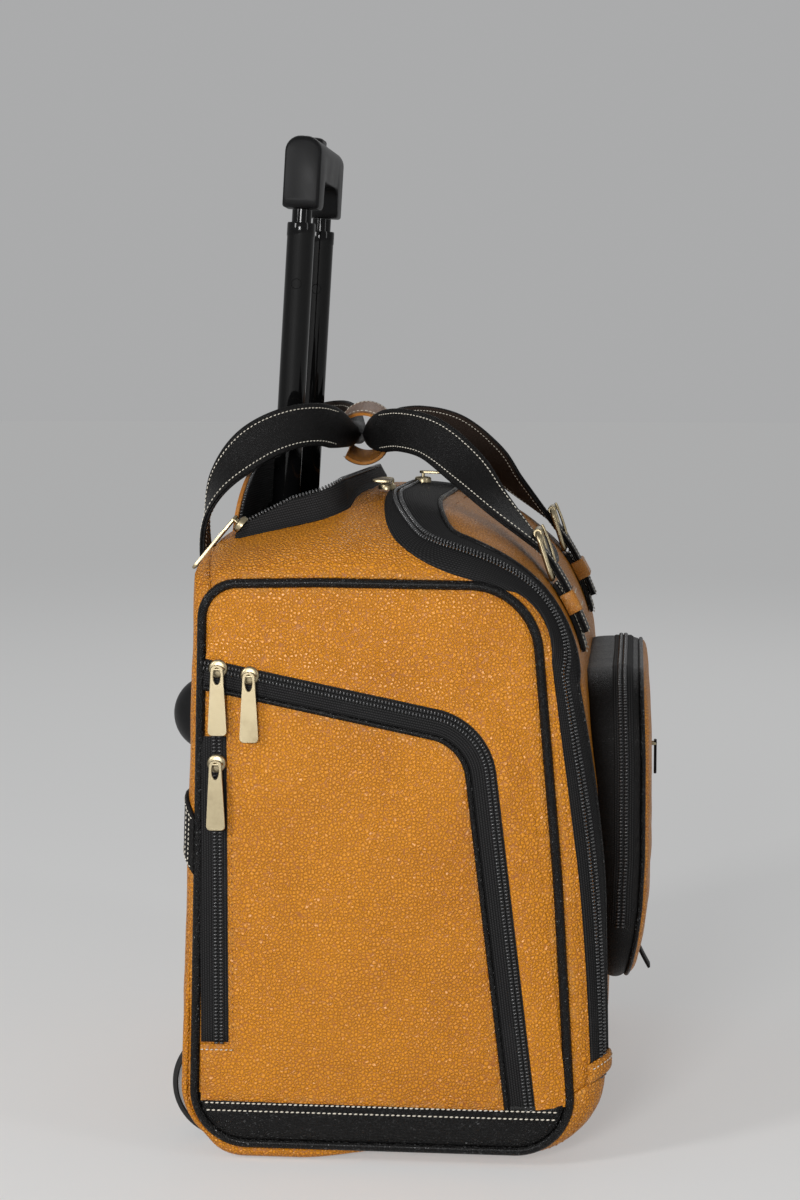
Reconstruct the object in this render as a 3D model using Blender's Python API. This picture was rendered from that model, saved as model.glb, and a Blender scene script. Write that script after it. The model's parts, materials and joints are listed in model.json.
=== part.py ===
"""Pilot rolling flight case: sewn leather case on two wheels, with a three-stage trolley handle.

Metres, +Z up, +X is the front of the case and -Y the near side, origin on the floor under the middle.
"""
from math import asin, atan2, cos, pi, radians, sin, sqrt, tan

import bmesh
import bpy
from mathutils import Vector

# Driving dimensions
CASE_WIDTH = 0.440          # across the two side faces
SPREAD = CASE_WIDTH / 0.440  # the handles' lines are drawn for this width
SKIN = 0.0030               # leather over board
GAP = 0.0004                # between sewn or touching pieces
SEAM = 0.0010               # half of the slit at a zip
SEAM_GAP = 0.0005           # half of the gap between panels sewn edge to edge
PIPING_RADIUS = 0.0032
PANEL_PROUD = 0.0012        # how far the side panel's middle swells past the side plane

# Outlines in the XZ plane: corner x, corner z, corner radius, arc steps, skin rounding before and after
SIDE_ROUND = 0.020
TOP_ROUND = 0.150
SIDE_CORNERS = (
    (-0.1345, 0.3970, 0.024, 4), (-0.1435, 0.0125, 0.036, 5), (0.1160, 0.0125, 0.037, 5),
    (0.1050, 0.2000, 1.480, 3), (0.0880, 0.3970, 0.047, 8), (-0.0560, 0.3985, 0.300, 2))
OUTER_CORNERS = (
    (-0.1420, 0.4250, 0.030, 4), (-0.1560, 0.0080, 0.045, 5), (0.1385, 0.0080, 0.056, 5),
    (0.1345, 0.2000, 0.500, 3), (0.1085, 0.4520, 0.140, 8), (-0.0440, 0.4520, 0.100, 2))
ROUNDINGS = ((TOP_ROUND, SIDE_ROUND), (SIDE_ROUND, SIDE_ROUND), (SIDE_ROUND, SIDE_ROUND),
             (SIDE_ROUND, SIDE_ROUND), (SIDE_ROUND, TOP_ROUND), (TOP_ROUND, TOP_ROUND))

# Trolley: axis through TROLLEY_FOOT, leaning forward by TROLLEY_LEAN
TROLLEY_LEAN = radians(3.5)
TROLLEY_FOOT = (-0.1262, 0.0450)
TUBE_SPACING = 0.110
OUTER_TUBE_RADIUS = 0.0115
OUTER_TUBE_LENGTH = 0.398
MIDDLE_TUBE_RADIUS = 0.0100
MIDDLE_TUBE_OUT = 0.205
INNER_TUBE_RADIUS = 0.0072
INNER_TUBE_OUT = 0.010
TUBE_WALL = 0.0012
RUNNING_GAP = 0.0003
COLLAR_HEIGHT = 0.012
COLLAR_PROUD = 0.0018
STAGE_OVERLAP = 0.130       # length of the middle tubes inside the outer ones
INNER_OVERLAP = 0.250       # and of the inner tubes inside the middle ones
GRIP_LENGTH = 0.137
GRIP_HEIGHT = 0.030
GRIP_DEPTH = 0.027
GRIP_LEG = 0.022
BUTTON_LENGTH = 0.030
BUTTON_DEPTH = 0.013
BUTTON_PROUD = 0.0035
BASE_LENGTH = 0.170
BASE_FRONT = 0.014
BASE_HEIGHT = 0.018

# Running gear
RUNNER_INSET = 0.055        # of wheels, feet and bumpers from the side faces
WHEEL_RADIUS = 0.039
WHEEL_WIDTH = 0.022
WHEEL_Y = CASE_WIDTH / 2 - RUNNER_INSET
WHEEL_X = -0.1285
RIM_RADIUS = 0.027
AXLE_RADIUS = 0.003
HOUSING_WALL = 0.0025
HOUSING_GAP = 0.0025
FOOT_RADIUS = 0.013
FOOT_X = 0.080
FOOT_Y = WHEEL_Y
BUMPER_RADIUS = 0.0266
BUMPER_HEIGHT = 0.018
BUMPER_Z = 0.302
BUMPER_Y = WHEEL_Y
BAND_Z = 0.232
BAND_HEIGHT = 0.042
BAND_INSET = 0.030
BAND_LENGTH = CASE_WIDTH - 2 * BAND_INSET
BAND_THICK = 0.0025

# Trolley slot in the top, inset from the side faces
SLOT_INSET = 0.060
FLAP_INSET = 0.012
FLAP_TAPER = 0.086
SLOT_FRONT = -0.046
SLOT_REAR = -0.1220
SLOT_HALF = CASE_WIDTH / 2 - SLOT_INSET
SLOT_CORNER = 0.020
SLOT_RIM = 0.017
FLAP_HEIGHT = 0.042
FLAP_HALF = SLOT_HALF - FLAP_INSET
FLAP_TOP_HALF = FLAP_HALF - FLAP_TAPER
SLOT_PULL_LEAN = radians(40)
FLAP_LEAN = radians(7)
FLAP_THICK = 0.003
DIVIDER_FOOT = (-0.080, 0.0165)
DIVIDER_TOP = (-0.052, 0.4265)

# Zips
TAPE_THICK = 0.0014
TAPE_HALF = 0.0125
CHAIN_HALF = 0.0036
CHAIN_PROUD = 0.0010
TAPE_LIFT = 0.0013
SLIDER_RADIUS = 0.0062
SLIDER_HEIGHT = 0.0034
EAR_OUT = 0.0046
EAR_THICK = 0.0012
PIN_RADIUS = 0.0010
PULL_LENGTH = 0.0450
PULL_TOP = 0.0085
PULL_BOTTOM = 0.0125
PULL_THICK = 0.0018
EYE_RADIUS = 0.0022

# Side pocket on the near side: the zip's line round its corner
L_ZIP = ((-0.1290, 0.3415, 0.0), (0.0555, 0.3035, 0.045), (0.0866, 0.0420, 0.0))
L_ZIP_OUTER = 0.0085
L_ZIP_INNER = 0.0135
POCKET_THICK = 0.0022
SLOT_ZIP_X = -0.1250
SLOT_ZIP_TOP = 0.2900
SLOT_ZIP_BOTTOM = 0.0830
SLOT_ZIP_HALF = 0.0078
SLOT_SLIDER_Z = 0.2760
L_SLIDERS_X = (-0.1235, -0.1020)
MAIN_SLIDERS_Y = (-0.076, 0.060)    # one on the case's half of the zip, one on the lid's

# Front pocket on the lid
POCKET_INSET = 0.070
POCKET_HALF = CASE_WIDTH / 2 - POCKET_INSET
POCKET_BOTTOM = 0.108
POCKET_TOP = 0.346
POCKET_CORNER = 0.030
POCKET_FRONT = 0.1600
POCKET_WALL = 0.0030
POCKET_BULGE = 0.0075
POCKET_COVER = 0.0030
POCKET_ZIP_BACK = 0.012     # its zip lies this far behind the cover
POCKET_ZIP_HALF = 0.0080
POCKET_TAB_Z = 0.137
POCKET_TAB_LENGTH = 0.020
POCKET_PULL_Y = -0.080
POCKET_PULL_Z = 0.272
POCKET_PULL_LENGTH = 0.022

# Carry handles: centre line, then width direction, each from the sewn end to the middle
STRAP_WIDTH = 0.031
STRAP_THICK = 0.0042
ROLL_WIDTH = 0.0170         # rolled middle, height and depth
ROLL_DEPTH = 0.0166
REAR_SEWN = ((-0.120 * SPREAD, 0.345), (-0.120 * SPREAD, 0.385))    # sewn end on the back, as (y, z)
REAR_HANDLE = tuple(((x, y * SPREAD, z), across) for (x, y, z), across in (
    ((-0.1500, -0.120, 0.412), (0.0, 1.0, 0.0)), ((-0.1490, -0.119, 0.437), (-0.15, 1.0, 0.1)),
    ((-0.1390, -0.115, 0.463), (-0.40, 0.75, 0.45)), ((-0.1180, -0.107, 0.486), (-0.42, 0.30, 0.80)),
    ((-0.0950, -0.096, 0.498), (-0.20, 0.12, 1.0)), ((-0.0750, -0.079, 0.501), (-0.10, 0.0, 1.0)),
    ((-0.0625, -0.055, 0.497), (0.0, 0.0, 1.0))))
FRONT_HANDLE = tuple(((x, y * SPREAD, z), across) for (x, y, z), across in (
    ((0.0550, -0.134, 0.4510), (0.45, 0.80, 0.30)), ((0.0340, -0.119, 0.4730), (0.50, 0.45, 0.65)),
    ((0.0100, -0.101, 0.4910), (0.30, 0.20, 0.95)), ((-0.0140, -0.080, 0.4970), (0.10, 0.05, 1.0)),
    ((-0.0330, -0.055, 0.4950), (0.0, 0.0, 1.0))))
ROLL_ENTRY = 0.030
ROLL_FROM = 0.024           # the straps are rolled between here and the middle
ROLL_BLEND = 0.040          # and turn flat over this distance
RING_CENTRE = (-0.0490, 0.4930)
ROLL_OFFSET = 0.0093        # of each rolled middle from the ring's centre
RING_WALL = 0.0030
RING_LENGTH = 0.038
RING_SLIT = radians(66)     # opening through which the rear handle leaves
RING_SLIT_AT = radians(193)

# Buckled strap bases on the lid
STRAP_Y = 0.140 * SPREAD
CHAPE_THICK = 0.0030
BUCKLE_WIRE = 0.0019
BUCKLE_HALF = 0.0186
BUCKLE_LENGTH = 0.0330
ROLLER_RADIUS = 0.0033
KEEPER_LENGTH = 0.015
KEEPER_WALL = 0.0018
LID_TURN_LOW = 5.9          # the lid's round front edge runs from this angle to the next, in degrees
LID_TURN_HIGH = 90.0
CHAPE_TURNS = (17.0, 34.5)  # angles of the strap base, the keeper and the buckle's lower bar
KEEPER_TURN = 28.0
BAR_TURN = 36.2
CHAPE_LIFT = 0.0012
BAR_LIFT = 0.0034
BUCKLE_RISE = 0.0110
KEEPER_TOP = 0.0098
TAIL_MARKS = ((19.0, 0.0072), (28.0, 0.0072), (36.2, 0.0086), (44.0, 0.0098))

HALF = CASE_WIDTH / 2


def clear_scene():
    for obj in list(bpy.data.objects):
        bpy.data.objects.remove(obj, do_unlink=True)


def make_material(name, colour, roughness, metallic=0.0):
    made = bpy.data.materials.new(name)
    made.use_nodes = True
    shader = made.node_tree.nodes["Principled BSDF"]
    shader.inputs["Base Color"].default_value = (*colour, 1.0)
    shader.inputs["Roughness"].default_value = roughness
    shader.inputs["Metallic"].default_value = metallic
    return made


FINISHES = {
    "tan_leather": ((0.60, 0.215, 0.010), 0.48, 0.0),
    "black_leather": ((0.012, 0.012, 0.013), 0.42, 0.0),
    "zip_tape": ((0.022, 0.022, 0.024), 0.85, 0.0),
    "antique_brass": ((0.52, 0.40, 0.20), 0.34, 1.0),
    "gloss_tube": ((0.010, 0.011, 0.014), 0.16, 0.6),
    "black_plastic": ((0.014, 0.014, 0.015), 0.38, 0.0),
    "tyre_rubber": ((0.016, 0.016, 0.018), 0.75, 0.0),
    "wheel_grey": ((0.060, 0.062, 0.068), 0.45, 0.0),
    "axle_steel": ((0.50, 0.50, 0.52), 0.30, 1.0),
    "lining_board": ((0.030, 0.028, 0.026), 0.90, 0.0),
}


def finish(slot, name):
    colour, roughness, metallic = FINISHES[slot]
    return make_material(name + "_" + slot, colour, roughness, metallic)


def empty(name, place, parent=None):
    made = bpy.data.objects.new(name, None)
    bpy.context.collection.objects.link(made)
    made.location = place
    if parent:
        made.parent = parent
        made.location = Vector(place) - parent_place(parent)
    return made


def parent_place(obj):
    place = Vector((0, 0, 0))
    while obj:
        place += obj.location
        obj = obj.parent
    return place


def add(name, bm, slot, parent, smooth=40):
    """Turn a bmesh in case coordinates into a named object under its parent empty."""
    bmesh.ops.remove_doubles(bm, verts=bm.verts, dist=1e-6)
    bmesh.ops.recalc_face_normals(bm, faces=bm.faces)
    place = parent_place(parent)
    bmesh.ops.translate(bm, verts=bm.verts, vec=-place)
    mesh = bpy.data.meshes.new(name)
    bm.to_mesh(mesh)
    bm.free()
    mesh.shade_smooth()
    mesh.set_sharp_from_angle(angle=radians(smooth))
    obj = bpy.data.objects.new(name, mesh)
    bpy.context.collection.objects.link(obj)
    obj.parent = parent
    mesh.materials.append(finish(slot, name))
    return obj


def cutter(name, bm, parent):
    obj = add(name, bm, "lining_board", parent)
    obj.hide_render = True
    obj.display_type = "WIRE"
    return obj


def boolean(obj, other, operation):
    step = obj.modifiers.new(operation.lower() + "_" + other.name, "BOOLEAN")
    step.operation = operation
    step.object = other


# Shapes built from rings, grids and solids


def loft(rings, capped=True, looped=False):
    bm = bmesh.new()
    made = [[bm.verts.new(point) for point in ring] for ring in rings]
    count = len(made[0])
    pairs = list(zip(made, made[1:]))
    if looped:
        pairs.append((made[-1], made[0]))
    for first, second in pairs:
        for k in range(count):
            following = (k + 1) % count
            bm.faces.new((first[k], first[following], second[following], second[k]))
    if capped and not looped:
        bm.faces.new(list(reversed(made[0])))
        bm.faces.new(made[-1])
    return bm


def slab(outer, inner):
    """Closed sheet between two grids of points with the same rows and columns."""
    bm = bmesh.new()
    grids = [[[bm.verts.new(point) for point in row] for row in grid] for grid in (outer, inner)]
    rows, columns = len(outer), len(outer[0])
    for grid in grids:
        for r in range(rows - 1):
            for c in range(columns - 1):
                bm.faces.new((grid[r][c], grid[r][c + 1], grid[r + 1][c + 1], grid[r + 1][c]))
    rim = [(0, c) for c in range(columns)] + [(r, columns - 1) for r in range(1, rows)]
    rim += [(rows - 1, c) for c in range(columns - 2, -1, -1)] + [(r, 0) for r in range(rows - 2, 0, -1)]
    for k, (r, c) in enumerate(rim):
        r2, c2 = rim[(k + 1) % len(rim)]
        bm.faces.new((grids[0][r][c], grids[0][r2][c2], grids[1][r2][c2], grids[1][r][c]))
    return bm


def circle(centre, first, second, radius, count, start=0.0):
    turns = [start + 2 * pi * k / count for k in range(count)]
    return [centre + first * (radius * cos(t)) + second * (radius * sin(t)) for t in turns]


def rod(start, end, radius, count=16, end_radius=None):
    start, end = Vector(start), Vector(end)
    along = (end - start).normalized()
    first = along.orthogonal().normalized()
    second = along.cross(first)
    last = radius if end_radius is None else end_radius
    return loft([circle(start, first, second, radius, count), circle(end, first, second, last, count)])


def turned(profile, centre, axis, count, looped=True):
    """Revolve (radius, along) pairs about an axis through centre."""
    axis = Vector(axis).normalized()
    first = axis.orthogonal().normalized()
    second = axis.cross(first)
    rings = [circle(Vector(centre) + axis * along, first, second, radius, count)
             for radius, along in profile]
    return loft(rings, capped=not looped, looped=looped)


def block(low, high):
    (x0, y0, z0), (x1, y1, z1) = low, high
    lower = [Vector((x, y, z0)) for x, y in ((x0, y0), (x1, y0), (x1, y1), (x0, y1))]
    return loft([lower, [Vector((p.x, p.y, z1)) for p in lower]])


def prism(outline, place_low, place_high):
    """Extrude a flat outline, given as two functions that place its points."""
    return loft([[place_low(*p) for p in outline], [place_high(*p) for p in outline]])


# Outlines and the skin of the case


def round_corners(corners, closed=True):
    """Points round a polygon whose corners are (x, z, radius, arc steps)."""
    points = []
    last = len(corners) - 1
    for k, (x, z, radius, steps) in enumerate(corners):
        here = Vector((x, z))
        if not closed and k in (0, last):
            points.append(here)
            continue
        before = Vector(corners[k - 1][:2])
        after = Vector(corners[(k + 1) % len(corners)][:2])
        back = (before - here).normalized()
        ahead = (after - here).normalized()
        half = back.angle(ahead) / 2
        centre = here + (back + ahead).normalized() * (radius / sin(half))
        start = here + back * (radius / tan(half)) - centre
        end = here + ahead * (radius / tan(half)) - centre
        turn = start.angle_signed(end)
        for step in range(steps + 1):
            angle = -turn * step / steps
            spun = Vector((start.x * cos(angle) - start.y * sin(angle),
                           start.x * sin(angle) + start.y * cos(angle)))
            points.append(centre + spun)
    return points


SIDE_LOOP = round_corners(SIDE_CORNERS)
OUTER_LOOP = round_corners(OUTER_CORNERS)
ROUND_LOOP = [first + (last - first) * step / corner[3]
              for corner, (first, last) in zip(OUTER_CORNERS, ROUNDINGS)
              for step in range(corner[3] + 1)]
COUNT = len(OUTER_LOOP)
FIRST_OF = [sum(corner[3] + 1 for corner in OUTER_CORNERS[:k]) for k in range(len(OUTER_CORNERS))]
TOP_REAR, BACK_FOOT, FRONT_FOOT, FRONT_MIDDLE, FRONT_TOP, TOP_MIDDLE = FIRST_OF
SEAM_BACK = TOP_REAR + 2                         # seam at the top rear corner
BACK_END = BACK_FOOT                             # seam between back and bottom
LID_FOOT = FRONT_MIDDLE - 1                      # lower end of the lid
RIDGE = TOP_MIDDLE - 1                           # main zip across the top
INSIDE = Vector((-0.01, 0.0, 0.22))


def blend_at(loop, u):
    k = int(u // 1)
    share = u - k
    return loop[k % COUNT] * (1 - share) + loop[(k + 1) % COUNT] * share


def skin(u, angle, side):
    """Point on the outside: u runs round the outline, angle from the side edge to the top of the round."""
    edge, outer, rounding = (blend_at(loop, u) for loop in (SIDE_LOOP, OUTER_LOOP, ROUND_LOOP))
    flat = edge + (outer - edge) * sin(angle)
    return Vector((flat.x, side * (HALF - rounding * (1 - cos(angle))), flat.y))


def skin_normal(u, angle, side):
    step, stretch = 0.02, 0.5
    low, high = max(angle - step, 0.0), min(angle + step, pi / 2)
    across = skin(u, high, side) - skin(u, low, side)
    along = skin(u + stretch, angle, side) - skin(u - stretch, angle, side)
    normal = across.cross(along).normalized()
    return normal if normal.dot(skin(u, angle, side) - INSIDE) > 0 else -normal


def skin_lengths(u):
    """Distances from the side edge along the skin, at even steps of angle."""
    steps = 24
    points = [skin(u, pi / 2 * k / steps, 1) for k in range(steps + 1)]
    walked = [0.0]
    for last, here in zip(points, points[1:]):
        walked.append(walked[-1] + (here - last).length)
    return walked


def angle_at(u, reach):
    """Angle whose distance from the side edge along the skin is reach, a right angle at most."""
    walked = skin_lengths(u)
    steps = len(walked) - 1
    for k in range(steps):
        if walked[k + 1] >= reach:
            return pi / 2 * (k + (reach - walked[k]) / (walked[k + 1] - walked[k])) / steps
    return pi / 2


def walk_skin(u, reach, side):
    """Point and normal at a distance from the side edge along the skin, and on across the flat middle."""
    angle = angle_at(u, reach)
    point = skin(u, angle, side)
    point.y -= side * max(reach - skin_lengths(u)[-1], 0.0)
    return point, skin_normal(u, angle, side)


EDGE_CLEAR = PIPING_RADIUS + GAP * 6


def edge_distance(point):
    """Distance from a point to the line of the piping cord."""
    spot = Vector((point.x, point.z))
    best = 1.0
    for k, start in enumerate(SIDE_LOOP):
        run = SIDE_LOOP[(k + 1) % COUNT] - start
        share = min(max((spot - start).dot(run) / run.length_squared, 0.0), 1.0)
        best = min(best, (spot - start - run * share).length)
    return sqrt(best ** 2 + (HALF - abs(point.y)) ** 2)


def edge_angle(u):
    """Angle at which the skin has cleared the piping cord."""
    low, high = 0.0, pi / 2
    for _ in range(20):
        middle = (low + high) / 2
        low, high = (low, middle) if edge_distance(skin(u, middle, 1)) > EDGE_CLEAR else (middle, high)
    return high


def zip_reach(u):
    """Distance of the main zip from the side edge, along the lid's edge from its foot to the ridge."""
    marks = ((LID_FOOT, 0.0275), (FRONT_MIDDLE + 2, 0.0245), (FRONT_TOP, 0.0225), (FRONT_TOP + 5, 0.0240),
             (RIDGE - 1.5, 0.0300), (RIDGE, 0.0450))
    for (u0, r0), (u1, r1) in zip(marks, marks[1:]):
        if u <= u1:
            return r0 + (r1 - r0) * (u - u0) / (u1 - u0)
    return marks[-1][1]


def nudged(u, shift, angle, side):
    """u moved by a distance along the skin, towards the sheet's own inside."""
    if not shift:
        return u
    ahead = 1 if shift > 0 else -1
    return u + shift / (skin(u + ahead, angle, side) - skin(u, angle, side)).length


def skin_grid(u_values, spots_at):
    """Outer and inner grids of a sheet of skin; spots_at gives a row's (angle, side) pairs at a u."""
    outer, inner = [], []
    for row, u in enumerate(u_values):
        shift = SEAM_GAP if row == 0 else -SEAM_GAP if row == len(u_values) - 1 else 0.0
        places = [(nudged(u, shift, *spot), *spot) for spot in spots_at(u)]
        outer.append([skin(*place) for place in places])
        inner.append([skin(*place) - skin_normal(*place) * SKIN for place in places])
    return outer, inner


def spread(start, stop, count):
    return [start + (stop - start) * k / count for k in range(count + 1)]


def both_sides(angles):
    """Row across the whole case from the near side's angles, which end at the top of the round."""
    return [(angle, -1) for angle in angles] + [(angle, 1) for angle in reversed(angles)]


def full_row(u):
    return both_sides(spread(edge_angle(u), pi / 2, 4))


def gusset_row(u, side):
    return [(angle, side) for angle in spread(edge_angle(u), angle_at(u, zip_reach(u) - SEAM), 3)]


def lid_row(u):
    return both_sides(spread(angle_at(u, zip_reach(u) + SEAM), pi / 2, 5))


def top_row(u):
    """Divided like the gusset and the lid that it meets at the ridge."""
    corner = angle_at(u, zip_reach(RIDGE))
    return both_sides(spread(edge_angle(u), corner, 3)[:-1] + spread(corner, pi / 2, 5))


def offset(loop, distance):
    """Move a closed outline outwards by distance."""
    moved = []
    for k, here in enumerate(loop):
        run = loop[(k + 1) % len(loop)] - loop[k - 1]
        out = Vector((run.y, -run.x)).normalized()
        if out.dot(here - Vector((INSIDE.x, INSIDE.z))) < 0:
            out = -out
        moved.append(here + out * distance)
    return moved


def build_case(case):
    add("back_panel", slab(*skin_grid(range(SEAM_BACK, BACK_END + 1), full_row)), "tan_leather", case)
    add("bottom_panel", slab(*skin_grid(range(BACK_END, LID_FOOT + 1), full_row)), "tan_leather", case)
    top_sheet = slab(*skin_grid(range(RIDGE, COUNT + SEAM_BACK + 1), top_row))
    top = add("top_panel", top_sheet, "tan_leather", case)
    boolean(top, cutter("slot_cutter", slot_prism(0.0), case), "DIFFERENCE")
    for side, word in ((-1, "near"), (1, "far")):
        add(word + "_side_panel", side_panel(side), "tan_leather", case)
        grid = skin_grid(range(LID_FOOT, RIDGE + 1), lambda u: gusset_row(u, side))
        add(word + "_front_gusset", slab(*grid), "tan_leather", case)
    add("divider", divider(), "lining_board", case)
    add("rear_band", rear_band(), "black_leather", case)


def side_panel(side):
    """Pillowed side panel with its piping cord round the edge."""
    r = PIPING_RADIUS
    profile = ((-0.022, PANEL_PROUD), (-0.012, PANEL_PROUD * 0.8), (-r * 1.1, 0.0), (-r * 0.7, r * 0.7),
               (0.0, r), (r * 0.7, r * 0.7), (r, 0.0), (r * 0.7, -r * 0.7), (0.0, -r), (-r * 1.1, -SKIN))
    rings = [[Vector((p.x, side * (HALF + out), p.y)) for p in offset(SIDE_LOOP, grow)]
             for grow, out in profile]
    return loft(rings)


def divider():
    """Board between the trolley bay and the main compartment, narrower under the rounded top."""
    half = HALF - PIPING_RADIUS - GAP
    right = ((half, DIVIDER_FOOT[1]), (half, DIVIDER_TOP[1] - 0.055), (half - 0.036, DIVIDER_TOP[1] - 0.017),
             (half - 0.110, DIVIDER_TOP[1]))
    outline = right + tuple((-y, z) for y, z in reversed(right))
    lean = (DIVIDER_TOP[0] - DIVIDER_FOOT[0]) / (DIVIDER_TOP[1] - DIVIDER_FOOT[1])

    def x_at(z):
        return DIVIDER_FOOT[0] + lean * (z - DIVIDER_FOOT[1])
    return prism(outline, lambda y, z: Vector((x_at(z), y, z)), lambda y, z: Vector((x_at(z) + SKIN, y, z)))


def back_x(z):
    """X of the outside of the back at a height."""
    (x0, z0), (x1, z1) = OUTER_LOOP[BACK_FOOT - 1], OUTER_LOOP[BACK_FOOT]
    return x0 + (x1 - x0) * (z - z0) / (z1 - z0)


def corner_x(z):
    """X of the outside of the rear bottom corner at a height."""
    arc = OUTER_LOOP[BACK_FOOT:FRONT_FOOT]
    for (x0, z0), (x1, z1) in zip(arc, arc[1:]):
        if z1 <= z <= z0:
            return x0 + (x1 - x0) * (z - z0) / (z1 - z0)
    return back_x(z)


def rear_band():
    low, high = BAND_Z - BAND_HEIGHT / 2, BAND_Z + BAND_HEIGHT / 2
    half = BAND_LENGTH / 2

    def place(y, z, lift):
        return Vector((back_x(z) - GAP - lift, y, z))
    outline = ((-half, low), (half, low), (half, high), (-half, high))
    return prism(outline, lambda y, z: place(y, z, 0), lambda y, z: place(y, z, BAND_THICK))


# Trolley slot


def slot_outline(grow):
    """Plan of the slot: rounded at the front, square at the rear."""
    half, front, rear = SLOT_HALF + grow, SLOT_FRONT + grow, SLOT_REAR - grow
    corners = ((rear, -half, 0.001, 1), (front, -half, SLOT_CORNER + grow, 5),
               (front, half, SLOT_CORNER + grow, 5), (rear, half, 0.001, 1))
    return round_corners(corners)


def slot_prism(grow):
    outline = slot_outline(grow)
    return prism(outline, lambda x, y: Vector((x, y, 0.38)), lambda x, y: Vector((x, y, 0.50)))


def top_z(x, y=0.0):
    """Height of the outside of the top behind the ridge, lower towards the sides."""
    line = [OUTER_LOOP[k % COUNT] for k in range(RIDGE, COUNT + 3)]
    middle = line[-1].y
    for (x0, z0), (x1, z1) in zip(line, line[1:]):
        if x1 <= x <= x0:
            middle = z0 + (z1 - z0) * (x - x0) / (x1 - x0)
    edge = SIDE_CORNERS[0][1]
    inward = min((HALF - abs(y)) / TOP_ROUND, 1.0)
    return edge + (middle - edge) * sqrt(1 - (1 - inward) ** 2)


def build_slot(case):
    """Standing rim with the front half of the slot's zip, and the flap with the rear half."""
    path = slot_outline(-GAP)[1:-1]
    wall = TAPE_THICK
    inner = slot_outline(-GAP - wall)[1:-1]
    chain = slot_outline(-GAP - wall - CHAIN_PROUD)[1:-1]
    rings = []
    for out, mid, deep in zip(path, inner, chain):
        low = top_z(out.x, out.y) - SKIN * 2
        high = top_z(out.x, out.y) + SLOT_RIM
        rings.append([Vector((out.x, out.y, low)), Vector((mid.x, mid.y, low)),
                      Vector((mid.x, mid.y, high - CHAIN_HALF)), Vector((deep.x, deep.y, high - CHAIN_HALF)),
                      Vector((deep.x, deep.y, high)), Vector((out.x, out.y, high))])
    front = add("slot_zip_front", loft(rings), "zip_tape", case)
    foot = Vector((SLOT_REAR - GAP, 0.0, top_z(SLOT_REAR) + GAP * 2))
    rise = Vector((sin(FLAP_LEAN), 0.0, cos(FLAP_LEAN)))
    ahead = Vector((cos(FLAP_LEAN), 0.0, -sin(FLAP_LEAN)))

    def standing(half, low, high, near, far):
        drop = top_z(SLOT_REAR) - top_z(SLOT_REAR, half)
        right = [(half * 0.6, low), (half, low - drop * 0.9)]
        right += [(FLAP_TOP_HALF + (half - FLAP_TOP_HALF) * cos(t), low + (high - low) * sin(t))
                  for t in (pi / 10, pi / 5, pi / 3.3, pi / 2.4, pi / 2)]
        outline = right + [(-y, up) for y, up in reversed(right)]

        def at(y, up, out):
            return foot + rise * up + ahead * out + Vector((0, y, 0))
        return prism(outline, lambda y, up: at(y, up, near), lambda y, up: at(y, up, far))
    add("slot_flap", standing(FLAP_HALF, 0.0, FLAP_HEIGHT, -FLAP_THICK, 0.0), "tan_leather", case)
    rear_tape = standing(FLAP_HALF - GAP, 0.0, FLAP_HEIGHT - GAP, GAP, GAP + TAPE_THICK)
    add("slot_zip_rear", rear_tape, "zip_tape", case)
    down = Vector((-sin(SLOT_PULL_LEAN), 0.0, -cos(SLOT_PULL_LEAN)))
    out = Vector((-cos(SLOT_PULL_LEAN), 0.0, sin(SLOT_PULL_LEAN)))
    corner = path[0]
    base = Vector((corner.x, corner.y, top_z(corner.x, corner.y) + SLOT_RIM - SLIDER_RADIUS))
    base += Vector((0.0, SLIDER_RADIUS * 0.31, 0.0)) - out * SLIDER_RADIUS * 0.83
    hinge = slider(front, "slot_end_slider", base, down, out, case)
    pull("trolley_pull", hinge, down, out, case)


# Trolley


def trolley_point(along, y=0.0, ahead=0.0):
    rise = Vector((sin(TROLLEY_LEAN), 0.0, cos(TROLLEY_LEAN)))
    front = Vector((cos(TROLLEY_LEAN), 0.0, -sin(TROLLEY_LEAN)))
    return Vector((TROLLEY_FOOT[0], y, TROLLEY_FOOT[1])) + rise * along + front * ahead


def tube(y, start, end, radius, wall, collar=None, mouth=None):
    """Tube with a collar round its upper end, or a guide sleeve of radius mouth in it."""
    axis = trolley_point(1) - trolley_point(0)
    inside = radius - wall
    neck = end - COLLAR_HEIGHT
    profile = [(inside, start), (radius, start)]
    if collar:
        profile += [(radius, neck), (radius + collar, neck), (radius + collar, end), (inside, end)]
    else:
        profile += [(radius, end), (mouth, end), (mouth, neck), (inside, neck)]
    return turned(profile, trolley_point(0, y), axis, 16)


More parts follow.
